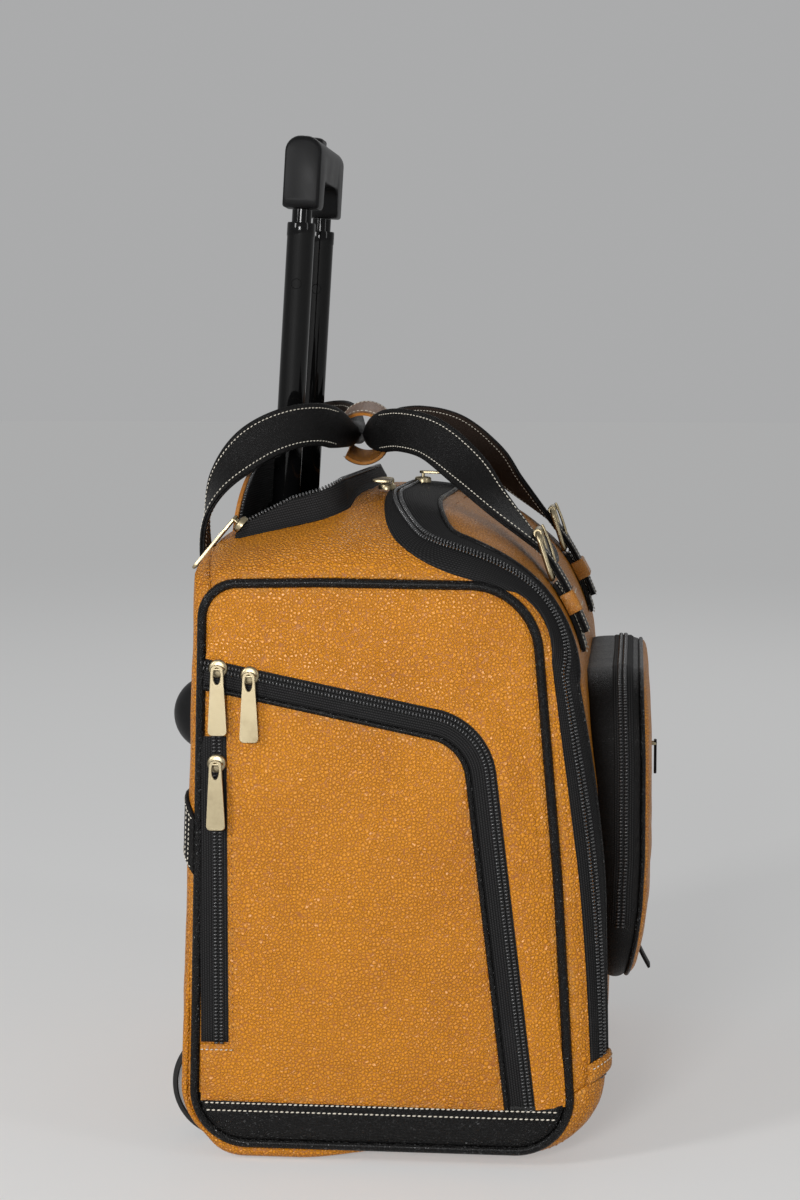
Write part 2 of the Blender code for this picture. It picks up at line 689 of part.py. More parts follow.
def build_trolley(case):
    low = TROLLEY_FOOT[1] - GAP
    rear = corner_x(low - BASE_HEIGHT) + SKIN * 1.4
    add("trolley_base", block((rear, -BASE_LENGTH / 2, low - BASE_HEIGHT),
                              (TROLLEY_FOOT[0] + BASE_FRONT, BASE_LENGTH / 2, low)), "black_plastic", case)
    middle_top = OUTER_TUBE_LENGTH + MIDDLE_TUBE_OUT
    inner_top = middle_top + INNER_TUBE_OUT
    middle = empty("middle_stage", trolley_point(OUTER_TUBE_LENGTH), case)
    inner = empty("inner_stage", trolley_point(middle_top), middle)
    for side, word in ((-1, "near"), (1, "far")):
        y = side * TUBE_SPACING / 2
        foot_lift = OUTER_TUBE_RADIUS * tan(TROLLEY_LEAN) + GAP
        outer_wall = OUTER_TUBE_RADIUS - MIDDLE_TUBE_RADIUS - RUNNING_GAP
        add("outer_tube_" + word, tube(y, foot_lift, OUTER_TUBE_LENGTH, OUTER_TUBE_RADIUS, outer_wall,
                                       COLLAR_PROUD), "gloss_tube", case)
        add("middle_tube_" + word, tube(y, OUTER_TUBE_LENGTH - STAGE_OVERLAP, middle_top, MIDDLE_TUBE_RADIUS,
                                        TUBE_WALL, mouth=INNER_TUBE_RADIUS + RUNNING_GAP), "gloss_tube", middle)
        add("inner_tube_" + word, rod(trolley_point(middle_top - INNER_OVERLAP, y),
                                      trolley_point(inner_top - GAP, y), INNER_TUBE_RADIUS), "gloss_tube", inner)
    held = add("trolley_grip", grip(inner_top), "black_plastic", inner)
    boolean(held, cutter("button_cutter", button_cutter(inner_top), inner), "DIFFERENCE")
    travel = empty("button_travel", trolley_point(inner_top), inner)
    add("grip_button", button(inner_top), "black_plastic", travel)


def arch(width, height, rounding, steps):
    """Half outline of a tombstone: flat foot, round top, as (across, up)."""
    outline = [(-width / 2, 0.0), (width / 2, 0.0)]
    outline += [(width / 2 - rounding + rounding * cos(pi / 2 * k / steps),
                 height - rounding + rounding * sin(pi / 2 * k / steps)) for k in range(steps + 1)]
    outline += [(-width / 2 + rounding - rounding * sin(pi / 2 * k / steps),
                 height - rounding + rounding * cos(pi / 2 * k / steps)) for k in range(steps + 1)]
    return outline


def grip(foot):
    """Crossbar with two legs that sit on the inner tubes, moulded as one piece with a button recess."""
    leg_half = 0.5 * (GRIP_LENGTH - TUBE_SPACING)
    inner_leg = TUBE_SPACING / 2 - leg_half
    half = GRIP_LENGTH / 2
    rings = []
    marks = [(-half, GRIP_LEG * 0.35, 0.80), (-half + 0.004, 0.0, 1.0), (-inner_leg - 0.001, 0.0, 1.0),
             (-inner_leg + 0.003, GRIP_LEG, 1.0)]
    marks += [(-y, low, size) for y, low, size in reversed(marks)]
    total = GRIP_LEG + GRIP_HEIGHT
    for y, low, size in marks:
        ring = []
        depth, height = GRIP_DEPTH * size, (total - low) * (0.5 + 0.5 * size)
        for across, up in arch(depth, height, depth * 0.46, 4):
            ring.append(trolley_point(foot + low + up, y, across))
        rings.append(ring)
    return loft(rings)


def button_cutter(foot):
    top = foot + GRIP_LEG + GRIP_HEIGHT
    grow = RUNNING_GAP
    return button_solid(top - 0.009, top + 0.02, BUTTON_LENGTH / 2 + grow, BUTTON_DEPTH / 2 + grow)


def button_solid(low, high, half, deep):
    outline = round_corners(((-deep, -half, deep * 0.9, 4), (deep, -half, deep * 0.9, 4),
                             (deep, half, deep * 0.9, 4), (-deep, half, deep * 0.9, 4)))
    return prism(outline, lambda a, y: trolley_point(low, y, a), lambda a, y: trolley_point(high, y, a))


def button(foot):
    top = foot + GRIP_LEG + GRIP_HEIGHT
    return button_solid(top - 0.0035, top + BUTTON_PROUD, BUTTON_LENGTH / 2, BUTTON_DEPTH / 2)


# Wheels, feet and bumpers


def build_running_gear(case):
    axle_z = WHEEL_RADIUS
    cutters = []
    for side, word in ((-1, "near"), (1, "far")):
        centre = Vector((WHEEL_X, side * WHEEL_Y, axle_z))
        wheel = empty("wheel_" + word, centre, case)
        half = WHEEL_WIDTH / 2
        tyre = [(RIM_RADIUS + GAP, -half * 0.9), (WHEEL_RADIUS * 0.95, -half), (WHEEL_RADIUS, -half * 0.5),
                (WHEEL_RADIUS, half * 0.5), (WHEEL_RADIUS * 0.95, half), (RIM_RADIUS + GAP, half * 0.9)]
        add("tyre_" + word, turned(tyre, centre, (0, 1, 0), 24), "tyre_rubber", wheel)
        bore = AXLE_RADIUS + RUNNING_GAP
        hub = [(bore, -half), (bore * 2.4, -half), (bore * 2.8, -half * 0.6), (RIM_RADIUS * 0.8, -half * 0.5),
               (RIM_RADIUS * 0.86, -half * 0.85), (RIM_RADIUS, -half * 0.85), (RIM_RADIUS, half * 0.85),
               (RIM_RADIUS * 0.86, half * 0.85), (RIM_RADIUS * 0.8, half * 0.5), (bore * 2.8, half * 0.6),
               (bore * 2.4, half), (bore, half)]
        add("hub_" + word, turned(hub, centre, (0, 1, 0), 16), "wheel_grey", wheel)
        reach = half + HOUSING_GAP + HOUSING_WALL
        along = Vector((0, reach - GAP, 0))
        add("axle_" + word, rod(centre - along, centre + along, AXLE_RADIUS), "axle_steel", case)
        cutters.append(wheel_housing(case, centre, word))
    for name in ("back_panel", "bottom_panel"):
        for made in cutters:
            boolean(bpy.data.objects[name], made, "DIFFERENCE")
    for side, word in ((-1, "near"), (1, "far")):
        top = OUTER_LOOP[BACK_FOOT + 6].y - GAP
        foot = [(0.0001, 0.0), (FOOT_RADIUS * 0.8, 0.0), (FOOT_RADIUS, top), (0.0001, top)]
        add("front_foot_" + word, turned(foot, (FOOT_X, side * FOOT_Y, 0), (0, 0, 1), 20, looped=False),
            "black_plastic", case)
        lean = atan2(OUTER_LOOP[BACK_FOOT - 1].x - OUTER_LOOP[BACK_FOOT].x,
                     OUTER_LOOP[BACK_FOOT - 1].y - OUTER_LOOP[BACK_FOOT].y)
        out = Vector((-cos(lean), 0, sin(lean)))
        base = Vector((back_x(BUMPER_Z), side * BUMPER_Y, BUMPER_Z)) + out * GAP
        start = (BUMPER_RADIUS ** 2 - (BUMPER_RADIUS - BUMPER_HEIGHT) ** 2) ** 0.5
        widest = atan2(start, BUMPER_RADIUS - BUMPER_HEIGHT)
        dome = [(BUMPER_RADIUS * sin(widest * (1 - k / 5)) + 0.0001,
                 BUMPER_RADIUS * cos(widest * (1 - k / 5)) - BUMPER_RADIUS + BUMPER_HEIGHT) for k in range(6)]
        add("bumper_" + word, turned(dome, base, out, 18, looped=False), "black_plastic", case)


def wheel_housing(case, centre, word):
    """Moulded cup round the wheel, open where it meets the outside of the case; returns the panels' cutter."""
    half = WHEEL_WIDTH / 2 + HOUSING_GAP
    inner = WHEEL_RADIUS + HOUSING_GAP
    outer = inner + HOUSING_WALL

    def drum(radius, reach):
        across = Vector((0, reach, 0))
        return rod(centre - across, centre + across, radius, 28)
    housing = add("wheel_housing_" + word, drum(outer, half + HOUSING_WALL), "black_plastic", case)
    hollow = cutter("hollow_cutter_" + word, drum(inner, half), case)
    hole = cutter("axle_cutter_" + word, drum(AXLE_RADIUS + GAP / 2, half * 2), case)
    inside = [Vector((p.x, p.y)) for p in offset(OUTER_LOOP, -GAP)]
    keep = cutter("outline_cutter_" + word, prism(inside, lambda x, z: Vector((x, -HALF, z)),
                                                   lambda x, z: Vector((x, HALF, z))), case)
    boolean(housing, keep, "INTERSECT")
    boolean(housing, hollow, "DIFFERENCE")
    boolean(housing, hole, "DIFFERENCE")
    return cutter("housing_cutter_" + word, drum(outer + GAP, half + HOUSING_WALL + GAP), case)


# Zips


def zip_strip(path, low, high, chain, rest=GAP):
    """Tape with a raised chain: each place on the path gives a point and a normal for a distance sideways."""
    start, stop = chain
    top = TAPE_THICK + CHAIN_PROUD
    lower, upper = [low, high], [(stop, top), (start, top)]
    if stop < high:
        lower.insert(1, (stop + high) / 2)
        upper = [(high, TAPE_THICK), ((stop + high) / 2, TAPE_THICK), (stop, TAPE_THICK)] + upper
    if start > low:
        lower.insert(1, (start + low) / 2)
        upper += [(start, TAPE_THICK), ((start + low) / 2, TAPE_THICK), (low, TAPE_THICK)]
    rings = []
    for place in path:
        ring = []
        for out, lift in [(out, 0.0) for out in lower] + upper:
            point, normal = place(out)
            ring.append(point + normal * (rest + lift))
        rings.append(ring)
    return loft(rings)


def flat_place(point, normal, across):
    return lambda out: (point + across * out, normal)


def path_frames(spots):
    """Frames along points with normals: sideways is to the left of the run, seen from outside."""
    frames = []
    for k, (point, normal) in enumerate(spots):
        run = spots[min(k + 1, len(spots) - 1)][0] - spots[max(k - 1, 0)][0]
        frames.append((point, normal, normal.cross(run).normalized()))
    return frames


def zip_place(u, reach, along, inward, side):
    """Across the main zip at a place on the skin; along and inward share out the sideways move."""
    def place(out):
        moved = nudged(u, out * along, angle_at(u, reach), side)
        return walk_skin(moved, reach - out * inward, side)
    return place


def main_zip_path():
    """Up the near edge of the lid, round the corner, across the ridge and down the far edge."""
    rows = [LID_FOOT + 0.05] + list(range(LID_FOOT + 1, RIDGE)) + [RIDGE - 0.5]
    marks = [(u, zip_reach(u), 0.0, 1.0) for u in rows]
    corner = zip_reach(RIDGE)
    marks += [(RIDGE - 0.1, zip_reach(RIDGE - 0.1), 0.5, 1.0), (RIDGE, corner, 1.0, 1.0),
              (RIDGE, corner + TAPE_HALF / 3, 1.0, 0.5)]
    marks += [(RIDGE, reach, 1.0, 0.0) for reach in spread(corner, skin_lengths(RIDGE)[-1], 4)[1:]]
    return [zip_place(*mark, -1) for mark in marks] + [zip_place(*mark, 1) for mark in reversed(marks)]


def build_main_zip(case, lid):
    path = main_zip_path()
    strips = {"lid": add("main_zip_lid", zip_strip(path, -TAPE_HALF, -GAP, (-CHAIN_HALF, -GAP), TAPE_LIFT),
                         "zip_tape", lid),
              "case": add("main_zip_case", zip_strip(path, GAP, TAPE_HALF, (GAP, CHAIN_HALF), TAPE_LIFT),
                          "zip_tape", case)}
    for word, y, away, parent in (("case", MAIN_SLIDERS_Y[0], -1, case), ("lid", MAIN_SLIDERS_Y[1], 1, lid)):
        inward = min((HALF - abs(y)) / TOP_ROUND, 1.0)
        angle = pi / 2 - asin(1 - inward)
        side = 1 if y > 0 else -1
        out = skin_normal(RIDGE, angle, side)
        ahead = Vector((0, 1, 0)).cross(out)
        base = skin(RIDGE, angle, side)
        base.y = y
        base += ahead * (away * (SLIDER_RADIUS + GAP * 2)) + out * TAPE_LIFT
        down = ahead if word == "lid" else ahead.cross(out)
        hinge = slider(strips[word], "main_slider_" + word, base, down, out, parent)
        pull("main_pull_" + word, hinge, down, out, parent)


# Lid and front pocket


def build_lid(lid):
    grid = skin_grid(range(LID_FOOT, RIDGE + 1), lid_row)
    add("lid_panel", slab(*grid), "tan_leather", lid)


def lid_x(z):
    """X of the outside of the lid's front at a height."""
    line = OUTER_LOOP[LID_FOOT:RIDGE]
    for (x0, z0), (x1, z1) in zip(line, line[1:]):
        if z0 <= z <= z1:
            return x0 + (x1 - x0) * (z - z0) / (z1 - z0)
    return line[0].x


def pocket_outline(inset):
    """Outline of the front pocket as (y, z)."""
    half, low, high = POCKET_HALF - inset, POCKET_BOTTOM + inset, POCKET_TOP - inset
    corner = max(POCKET_CORNER - inset, 0.004)
    loop = round_corners(((-half, low, corner, 4), (half, low, corner, 4), (half, high, corner, 4),
                          (-half, high, corner, 4)))
    arc = 5
    right = [loop[arc * 2 - 1].lerp(loop[arc * 2], k / 6) for k in range(1, 6)]
    left = [loop[-1].lerp(loop[0], k / 6) for k in range(1, 6)]
    return loop[:arc * 2] + right + loop[arc * 2:] + left


def build_pocket(lid):
    outer, inner = pocket_outline(0.0), pocket_outline(POCKET_WALL)
    rings = []
    for out, into in zip(outer, inner):
        foot_out, foot_in = (max(lid_x(p.y - 0.004), lid_x(p.y + 0.004)) + GAP for p in (out, into))
        rings.append([Vector((foot_out, out.x, out.y)), Vector((foot_in, into.x, into.y)),
                      Vector((POCKET_FRONT, into.x, into.y)), Vector((POCKET_FRONT, out.x, out.y))])
    add("pocket_gusset", loft(rings, looped=True), "tan_leather", lid)
    swing = empty("pocket_hinge", (POCKET_FRONT + GAP, 0.0, POCKET_BOTTOM), lid)
    layers = ((0.0, 0.0), (0.0, POCKET_COVER), (0.012, POCKET_BULGE * 0.75), (0.045, POCKET_BULGE))
    cover = [[Vector((POCKET_FRONT + GAP + out, p.x, p.y)) for p in pocket_outline(inset)]
             for inset, out in layers]
    panel = add("pocket_cover", loft(cover), "tan_leather", swing)
    out, down = Vector((1, 0, 0)), Vector((0, 0, -1))
    base = Vector((POCKET_FRONT + GAP + POCKET_BULGE - SLIDER_HEIGHT, POCKET_PULL_Y, POCKET_PULL_Z))
    hinge = slider(panel, "pocket_slider", base, down, out, swing, sunk=0.0)
    pull("pocket_pull", hinge, down, out, swing, POCKET_PULL_LENGTH, "black_leather")
    round_trip = round_corners(((-POCKET_HALF, POCKET_BOTTOM + POCKET_CORNER, 0, 1),
                                (-POCKET_HALF, POCKET_TOP, POCKET_CORNER, 5),
                                (POCKET_HALF, POCKET_TOP, POCKET_CORNER, 5),
                                (POCKET_HALF, POCKET_BOTTOM + POCKET_CORNER, 0, 1)), closed=False)
    middle = Vector((0.0, (POCKET_BOTTOM + POCKET_TOP) / 2))
    spots = []
    for k, p in enumerate(round_trip):
        run = round_trip[min(k + 1, len(round_trip) - 1)] - round_trip[max(k - 1, 0)]
        out = Vector((run.y, -run.x)).normalized()
        if out.dot(p - middle) < 0:
            out = -out
        spots.append((Vector((POCKET_FRONT - POCKET_ZIP_BACK, p.x, p.y)), Vector((0, out.x, out.y))))
    path = [flat_place(*frame) for frame in path_frames(spots)]
    add("pocket_zip", zip_strip(path, -POCKET_ZIP_HALF, POCKET_ZIP_HALF, (-CHAIN_HALF, CHAIN_HALF)),
        "zip_tape", lid)
    face = POCKET_FRONT + GAP * 2 + POCKET_BULGE
    tab = [Vector((face - 0.0008, 0, POCKET_TAB_Z)), Vector((face + 0.0016, 0, POCKET_TAB_Z)),
           Vector((face + 0.0060, 0, POCKET_TAB_Z - POCKET_TAB_LENGTH)),
           Vector((face + 0.0036, 0, POCKET_TAB_Z - POCKET_TAB_LENGTH))]
    sides = [[p + Vector((0, POCKET_PULL_Y + across, 0)) for p in tab] for across in (-0.006, 0.006)]
    add("pocket_tab", loft(sides), "black_leather", swing)


# Side pocket on the near side


def near_face():
    return -(HALF + PANEL_PROUD)


def side_path(points):
    return path_frames([(Vector((p.x, near_face(), p.y)), Vector((0, -1, 0))) for p in points])


def build_side_pocket(case):
    line = round_corners([(*corner, 8) for corner in L_ZIP], closed=False)
    frames = side_path(line)
    chain = (-CHAIN_HALF, CHAIN_HALF)
    strip = zip_strip([flat_place(*frame) for frame in frames], -L_ZIP_INNER, L_ZIP_OUTER, chain)
    l_zip = add("side_pocket_zip", strip, "zip_tape", case)
    straight = [Vector((SLOT_ZIP_X, SLOT_ZIP_TOP)), Vector((SLOT_ZIP_X, SLOT_ZIP_BOTTOM))]
    places = [flat_place(*frame) for frame in side_path(straight)]
    strip = zip_strip(places, -SLOT_ZIP_HALF, SLOT_ZIP_HALF, chain)
    add("side_slot_zip", strip, "zip_tape", case)
    inset = L_ZIP_INNER + GAP
    upper = [point - across * inset for point, _, across in frames]
    left = SLOT_ZIP_X + SLOT_ZIP_HALF + GAP
    kept = [p for p in upper if p.x > left]
    low = L_ZIP[-1][1]
    outline = [Vector((left, low)), Vector((kept[-1].x, low))]
    outline += [Vector((p.x, p.z)) for p in reversed(kept[:-1])]
    outline.append(Vector((left, kept[0].z + (kept[0].x - left) * 0.2)))
    face = near_face() - GAP
    add("side_pocket_panel", prism(outline, lambda x, z: Vector((x, face, z)),
                                   lambda x, z: Vector((x, face - POCKET_THICK, z))), "tan_leather", case)
    down, out = Vector((0, 0, -1)), Vector((0, -1, 0))
    for number, x in enumerate(L_SLIDERS_X, 1):
        z = line[0].y + (line[1].y - line[0].y) * (x - line[0].x) / (line[1].x - line[0].x)
        base = Vector((x, near_face() - GAP, z))
        hinge = slider(l_zip, "side_slider_%d" % number, base, down, out, case)
        pull("side_pull_%d" % number, hinge, down, out, case)
    base = Vector((SLOT_ZIP_X, near_face() - TAPE_THICK - CHAIN_PROUD - GAP * 2, SLOT_SLIDER_Z))
    carrier = empty("slot_slider_run", base, case)
    add("slot_slider", slider_body(base, down, out, 0.0), "antique_brass", carrier)
    pull("slot_pull", hinge_of(base, out, 0.0), down, out, carrier)


# Zip sliders and pulls


def hinge_of(base, out, sunk):
    return base + out * (SLIDER_HEIGHT + sunk + EYE_RADIUS + GAP)


def slider_body(base, down, out, sunk):
    """Round slider with two ears and the pin that the pull turns on. sunk is its depth in the tape."""
    side = down.cross(out)
    centre = base
    top = SLIDER_HEIGHT + sunk
    bm = turned([(0.0001, 0.0), (SLIDER_RADIUS, 0.0), (SLIDER_RADIUS, top - 0.0008), (SLIDER_RADIUS - 0.0008, top),
                 (0.0001, top)], centre, out, 16, looped=False)
    return join_ears(bm, centre, down, out, side, top)


def join_ears(bm, centre, down, out, side, top):
    """Ears and pin as one bracket: a wide U seen along the zip, joined to the slider's top."""
    rise = top + EYE_RADIUS + GAP
    wide, ear = EAR_OUT, EAR_THICK
    pin = PIN_RADIUS
    outline = ((-wide, top - 0.0005), (-wide, rise + pin), (wide, rise + pin), (wide, top - 0.0005),
               (wide - ear, top - 0.0005), (wide - ear, rise - pin), (-wide + ear, rise - pin),
               (-wide + ear, top - 0.0005))
    rings = [[centre + side * a + out * b + down * c for a, b in outline] for c in (-pin, pin)]
    bracket = loft(rings)
    return fuse(bm, bracket)


def fuse(first, second):
    """Boolean union of two closed bmeshes."""
    made = []
    for bm in (first, second):
        bmesh.ops.recalc_face_normals(bm, faces=bm.faces)
        mesh = bpy.data.meshes.new("fuse")
        bm.to_mesh(mesh)
        bm.free()
        obj = bpy.data.objects.new("fuse", mesh)
        bpy.context.collection.objects.link(obj)
        made.append(obj)
    boolean(made[0], made[1], "UNION")
    graph = bpy.context.evaluated_depsgraph_get()
    result = bmesh.new()
    result.from_object(made[0], graph)
    for obj in made:
        bpy.data.objects.remove(obj, do_unlink=True)
    return result


def slider(strip, name, base, down, out, parent, sunk=TAPE_THICK + CHAIN_PROUD):
    """Slider fused to its zip; returns the pull's hinge point."""
    body = cutter(name, slider_body(base, down, out, sunk), parent)
    boolean(strip, body, "UNION")
    return hinge_of(base, out, sunk)


def pull(name, hinge, down, out, parent, length=None, slot="antique_brass"):
    """Tapered pull plate with an eye round the slider's pin."""
    length = length or PULL_LENGTH
    side = down.cross(out)
    turn = empty(name + "_hinge", hinge, parent)
    eye_half = EAR_OUT - EAR_THICK - GAP
    bore = PIN_RADIUS * 1.42 + RUNNING_GAP
    eye = turned([(bore, -eye_half), (EYE_RADIUS, -eye_half), (EYE_RADIUS, eye_half), (bore, eye_half)],
                 hinge, side, 12)
    half = PULL_THICK / 2
    start = (EYE_RADIUS + bore) / 2
    bottom = PULL_BOTTOM
    outline = [(-eye_half, start), (eye_half, start), (eye_half, start + 0.002), (PULL_TOP / 2, start + 0.006)]
    outline += [(bottom / 2, length - 0.002), (bottom / 2 - 0.002, length), (-bottom / 2 + 0.002, length),
                (-bottom / 2, length - 0.002), (-PULL_TOP / 2, start + 0.006), (-eye_half, start + 0.002)]
    rings = [[hinge + side * a + down * b + out * c for a, b in outline] for c in (-half, half)]
    return add(name, fuse(eye, loft(rings)), slot, turn)


# Carry handles


def section(width, thick, roll, count=8):
    """Cross-section from a flat strap (roll 0) to a round roll (roll 1), as (across, out)."""
    power = 2.0 / (8.0 - 6.0 * roll)
    points = []
    for k in range(count):
        c, s = cos(2 * pi * (k + 0.5) / count), sin(2 * pi * (k + 0.5) / count)
        across = abs(c) ** power * (1 if c > 0 else -1)
        out = abs(s) ** power * (1 if s > 0 else -1)
        points.append((across * width / 2, out * thick / 2))
    return points


def smooth_path(marks, steps):
    """Catmull-Rom curve through marks of vectors, with steps spans between neighbours."""
    path = []
    for k in range(len(marks) - 1):
        before, here = marks[max(k - 1, 0)], marks[k]
        ahead, beyond = marks[k + 1], marks[min(k + 2, len(marks) - 1)]
        for step in range(steps):
            t = step / steps
            path.append((here * 2 + (ahead - before) * t + (before * 2 - here * 5 + ahead * 4 - beyond) * t * t
                         + (here * 3 - before - ahead * 3 + beyond) * t ** 3) / 2)
    path.append(marks[-1])
    return path


def mirrored(marks):
    def flip(v):
        return (v[0], -v[1], v[2])
    return list(marks) + [(flip(p), flip(w)) for p, w in reversed(marks)]


def strap(marks, steps=2):
    """Strap along marks of (centre, width direction), rolled round near the middle of the case."""
    both = mirrored(marks)
    centres = smooth_path([Vector(p) for p, w in both], steps)
    widths = smooth_path([Vector(w).normalized() for p, w in both], steps)
    rings = []
    for k, (centre, wide) in enumerate(zip(centres, widths)):
        run = (centres[min(k + 1, len(centres) - 1)] - centres[max(k - 1, 0)]).normalized()
        wide = (wide - run * wide.dot(run)).normalized()
        out = run.cross(wide)
        roll = min(max((ROLL_FROM + ROLL_BLEND - abs(centre.y)) / ROLL_BLEND, 0.0), 1.0)
        width = STRAP_WIDTH + (ROLL_WIDTH - STRAP_WIDTH) * roll
        thick = STRAP_THICK + (ROLL_DEPTH - STRAP_THICK) * roll
        rings.append([centre + wide * a + out * b for a, b in section(width, thick, roll)])
    return loft(rings)


def lid_frame(turn, y, lift):
    """Frame on the lid's round front edge at an angle up from level: point, out, down and across."""
    share = (turn - LID_TURN_LOW) / (LID_TURN_HIGH - LID_TURN_LOW)
    u = FRONT_TOP + share * OUTER_CORNERS[4][3]
    rounding = blend_at(ROUND_LOOP, u)
    inward = min((HALF - abs(y)) / rounding, 1.0)
    angle = pi / 2 if inward >= 1 else pi / 2 - asin(1 - inward)
    side = 1 if y > 0 else -1
    out = skin_normal(u, angle, side)
    point = skin(u, angle, side)
    point.y = y
    point += out * lift
    down = skin(u - 0.2, angle, side) - skin(u + 0.2, angle, side)
    down.y = 0.0
    down = (down - out * down.dot(out)).normalized()
    return point, out, down, out.cross(down)


def lid_strip(turns, y, half, low, high):
    rings = []
    for turn in turns:
        point, out, _, across = lid_frame(turn, y, 0.0)
        corners = ((-half, low), (half, low), (half, high), (-half, high))
        rings.append([point + across * a + out * b for a, b in corners])
    return loft(rings)


def build_handles(case, lid):
    sewn = [((back_x(z) - GAP - STRAP_THICK / 2, y, z), (0.0, 1.0, 0.0)) for y, z in REAR_SEWN]
    add("rear_handle", strap(sewn + list(REAR_HANDLE) + rolled_end(-1)), "black_leather", case)
    tail = []
    for turn, lift in TAIL_MARKS:
        point, _, _, across = lid_frame(turn, -STRAP_Y, lift)
        tail.append((tuple(point), tuple(across if across.y > 0 else -across)))
    add("front_handle", strap(tail + list(FRONT_HANDLE) + rolled_end(1)), "black_leather", lid)
    add("handle_wrap", wrap_ring(), "tan_leather", lid)
    half = STRAP_WIDTH / 2
    for side, word in ((-1, "near"), (1, "far")):
        y = side * STRAP_Y
        count = 5
        turns = [CHAPE_TURNS[0] + (CHAPE_TURNS[1] - CHAPE_TURNS[0]) * k / count for k in range(count + 1)]
        add("strap_base_" + word, lid_strip(turns, y, half, CHAPE_LIFT, CHAPE_LIFT + CHAPE_THICK),
            "black_leather", lid)
        add("keeper_" + word, keeper(y), "tan_leather", lid)
        add("buckle_" + word, buckle(y), "antique_brass", lid)


def rolled_end(way):
    """Last marks of a handle, where it lies in the wrap in front of or behind its centre."""
    x, z = RING_CENTRE[0] + way * ROLL_OFFSET, RING_CENTRE[1]
    return [((x, y, z), (0.0, 0.0, 1.0)) for y in (-ROLL_ENTRY, -ROLL_ENTRY / 3)]


def wrap_ring():
    """Leather wrap that rests on both handles, open at the rear."""
    count = 20
    inside = ROLL_OFFSET + ROLL_DEPTH / 2 + GAP / 2
    rings = []
    for k in range(count + 1):
        turn = RING_SLIT_AT + RING_SLIT / 2 + (2 * pi - RING_SLIT) * k / count
        ring = []
        for radius, y in ((inside + RING_WALL, -1), (inside + RING_WALL, 1), (inside, 1), (inside, -1)):
            ring.append(Vector((RING_CENTRE[0] + radius * cos(turn), y * RING_LENGTH / 2,
                                RING_CENTRE[1] + radius * sin(turn))))
        rings.append(ring)
    return loft(rings)


def keeper(y):
    """Loop over the strap, open underneath where it is sewn to the lid."""
    inner = STRAP_WIDTH / 2 + GAP * 2
    outer = inner + KEEPER_WALL
    top = KEEPER_TOP
    outline = ((-outer, CHAPE_LIFT), (-outer, top + KEEPER_WALL), (outer, top + KEEPER_WALL), (outer, CHAPE_LIFT),
               (inner, CHAPE_LIFT), (inner, top), (-inner, top), (-inner, CHAPE_LIFT))
    point, out, down, across = lid_frame(KEEPER_TURN, y, 0.0)
    rings = [[point + across * a + out * b + down * c for a, b in outline]
             for c in (-KEEPER_LENGTH / 2, KEEPER_LENGTH / 2)]
    return loft(rings)


def buckle(y):
    """Wire frame: over the strap at its roller, under it at its lower bar."""
    point, out, down, across = lid_frame(BAR_TURN, y, BAR_LIFT)
    up = (-down * BUCKLE_LENGTH + out * BUCKLE_RISE).normalized()
    face = across.cross(up).normalized()
    half = BUCKLE_HALF
    corners = round_corners(((-half, 0.0, 0.004, 3), (half, 0.0, 0.004, 3), (half, BUCKLE_LENGTH, 0.004, 3),
                             (-half, BUCKLE_LENGTH, 0.004, 3)))
    rings = []
    for k, spot in enumerate(corners):
        run = corners[(k + 1) % len(corners)] - corners[k - 1]
        normal = Vector((run.y, -run.x)).normalized()
        centre = point + across * spot.x + up * spot.y
        outward = across * normal.x + up * normal.y
        radius = BUCKLE_WIRE
        rings.append(circle(centre, outward, face, radius, 6))
    frame = loft(rings, looped=True)
    top = point + up * BUCKLE_LENGTH
    reach = across * (half - BUCKLE_WIRE * 2.2)
    return fuse(frame, rod(top - reach, top + reach, ROLLER_RADIUS, 12))


def main():
    clear_scene()
    case = empty("case", (0, 0, 0))
    build_case(case)
    build_slot(case)
    build_trolley(case)
    build_running_gear(case)
    foot = OUTER_LOOP[LID_FOOT]
    lid = empty("lid", (foot.x, 0.0, foot.y), case)
    build_lid(lid)
    build_pocket(lid)
    build_main_zip(case, lid)
    build_side_pocket(case)
    build_handles(case, lid)
    stand_on_origin(case)


def stand_on_origin(case):
    """Centre the finished case over the origin."""
    bpy.context.view_layer.update()
    graph = bpy.context.evaluated_depsgraph_get()
    spots = []
    for obj in bpy.data.objects:
        if obj.type == "MESH" and not obj.hide_render:
            mesh = obj.evaluated_get(graph).to_mesh()
            spots += [obj.matrix_world @ vert.co for vert in mesh.vertices]
    for axis in (0, 1):
        values = [spot[axis] for spot in spots]
        case.location[axis] = -(min(values) + max(values)) / 2


main()
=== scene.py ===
import json
from math import acos, atan2, cos, pi, radians, sin, tan

import bmesh
import bpy
import numpy as np
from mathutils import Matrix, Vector, noise
from mathutils.geometry import delaunay_2d_cdt


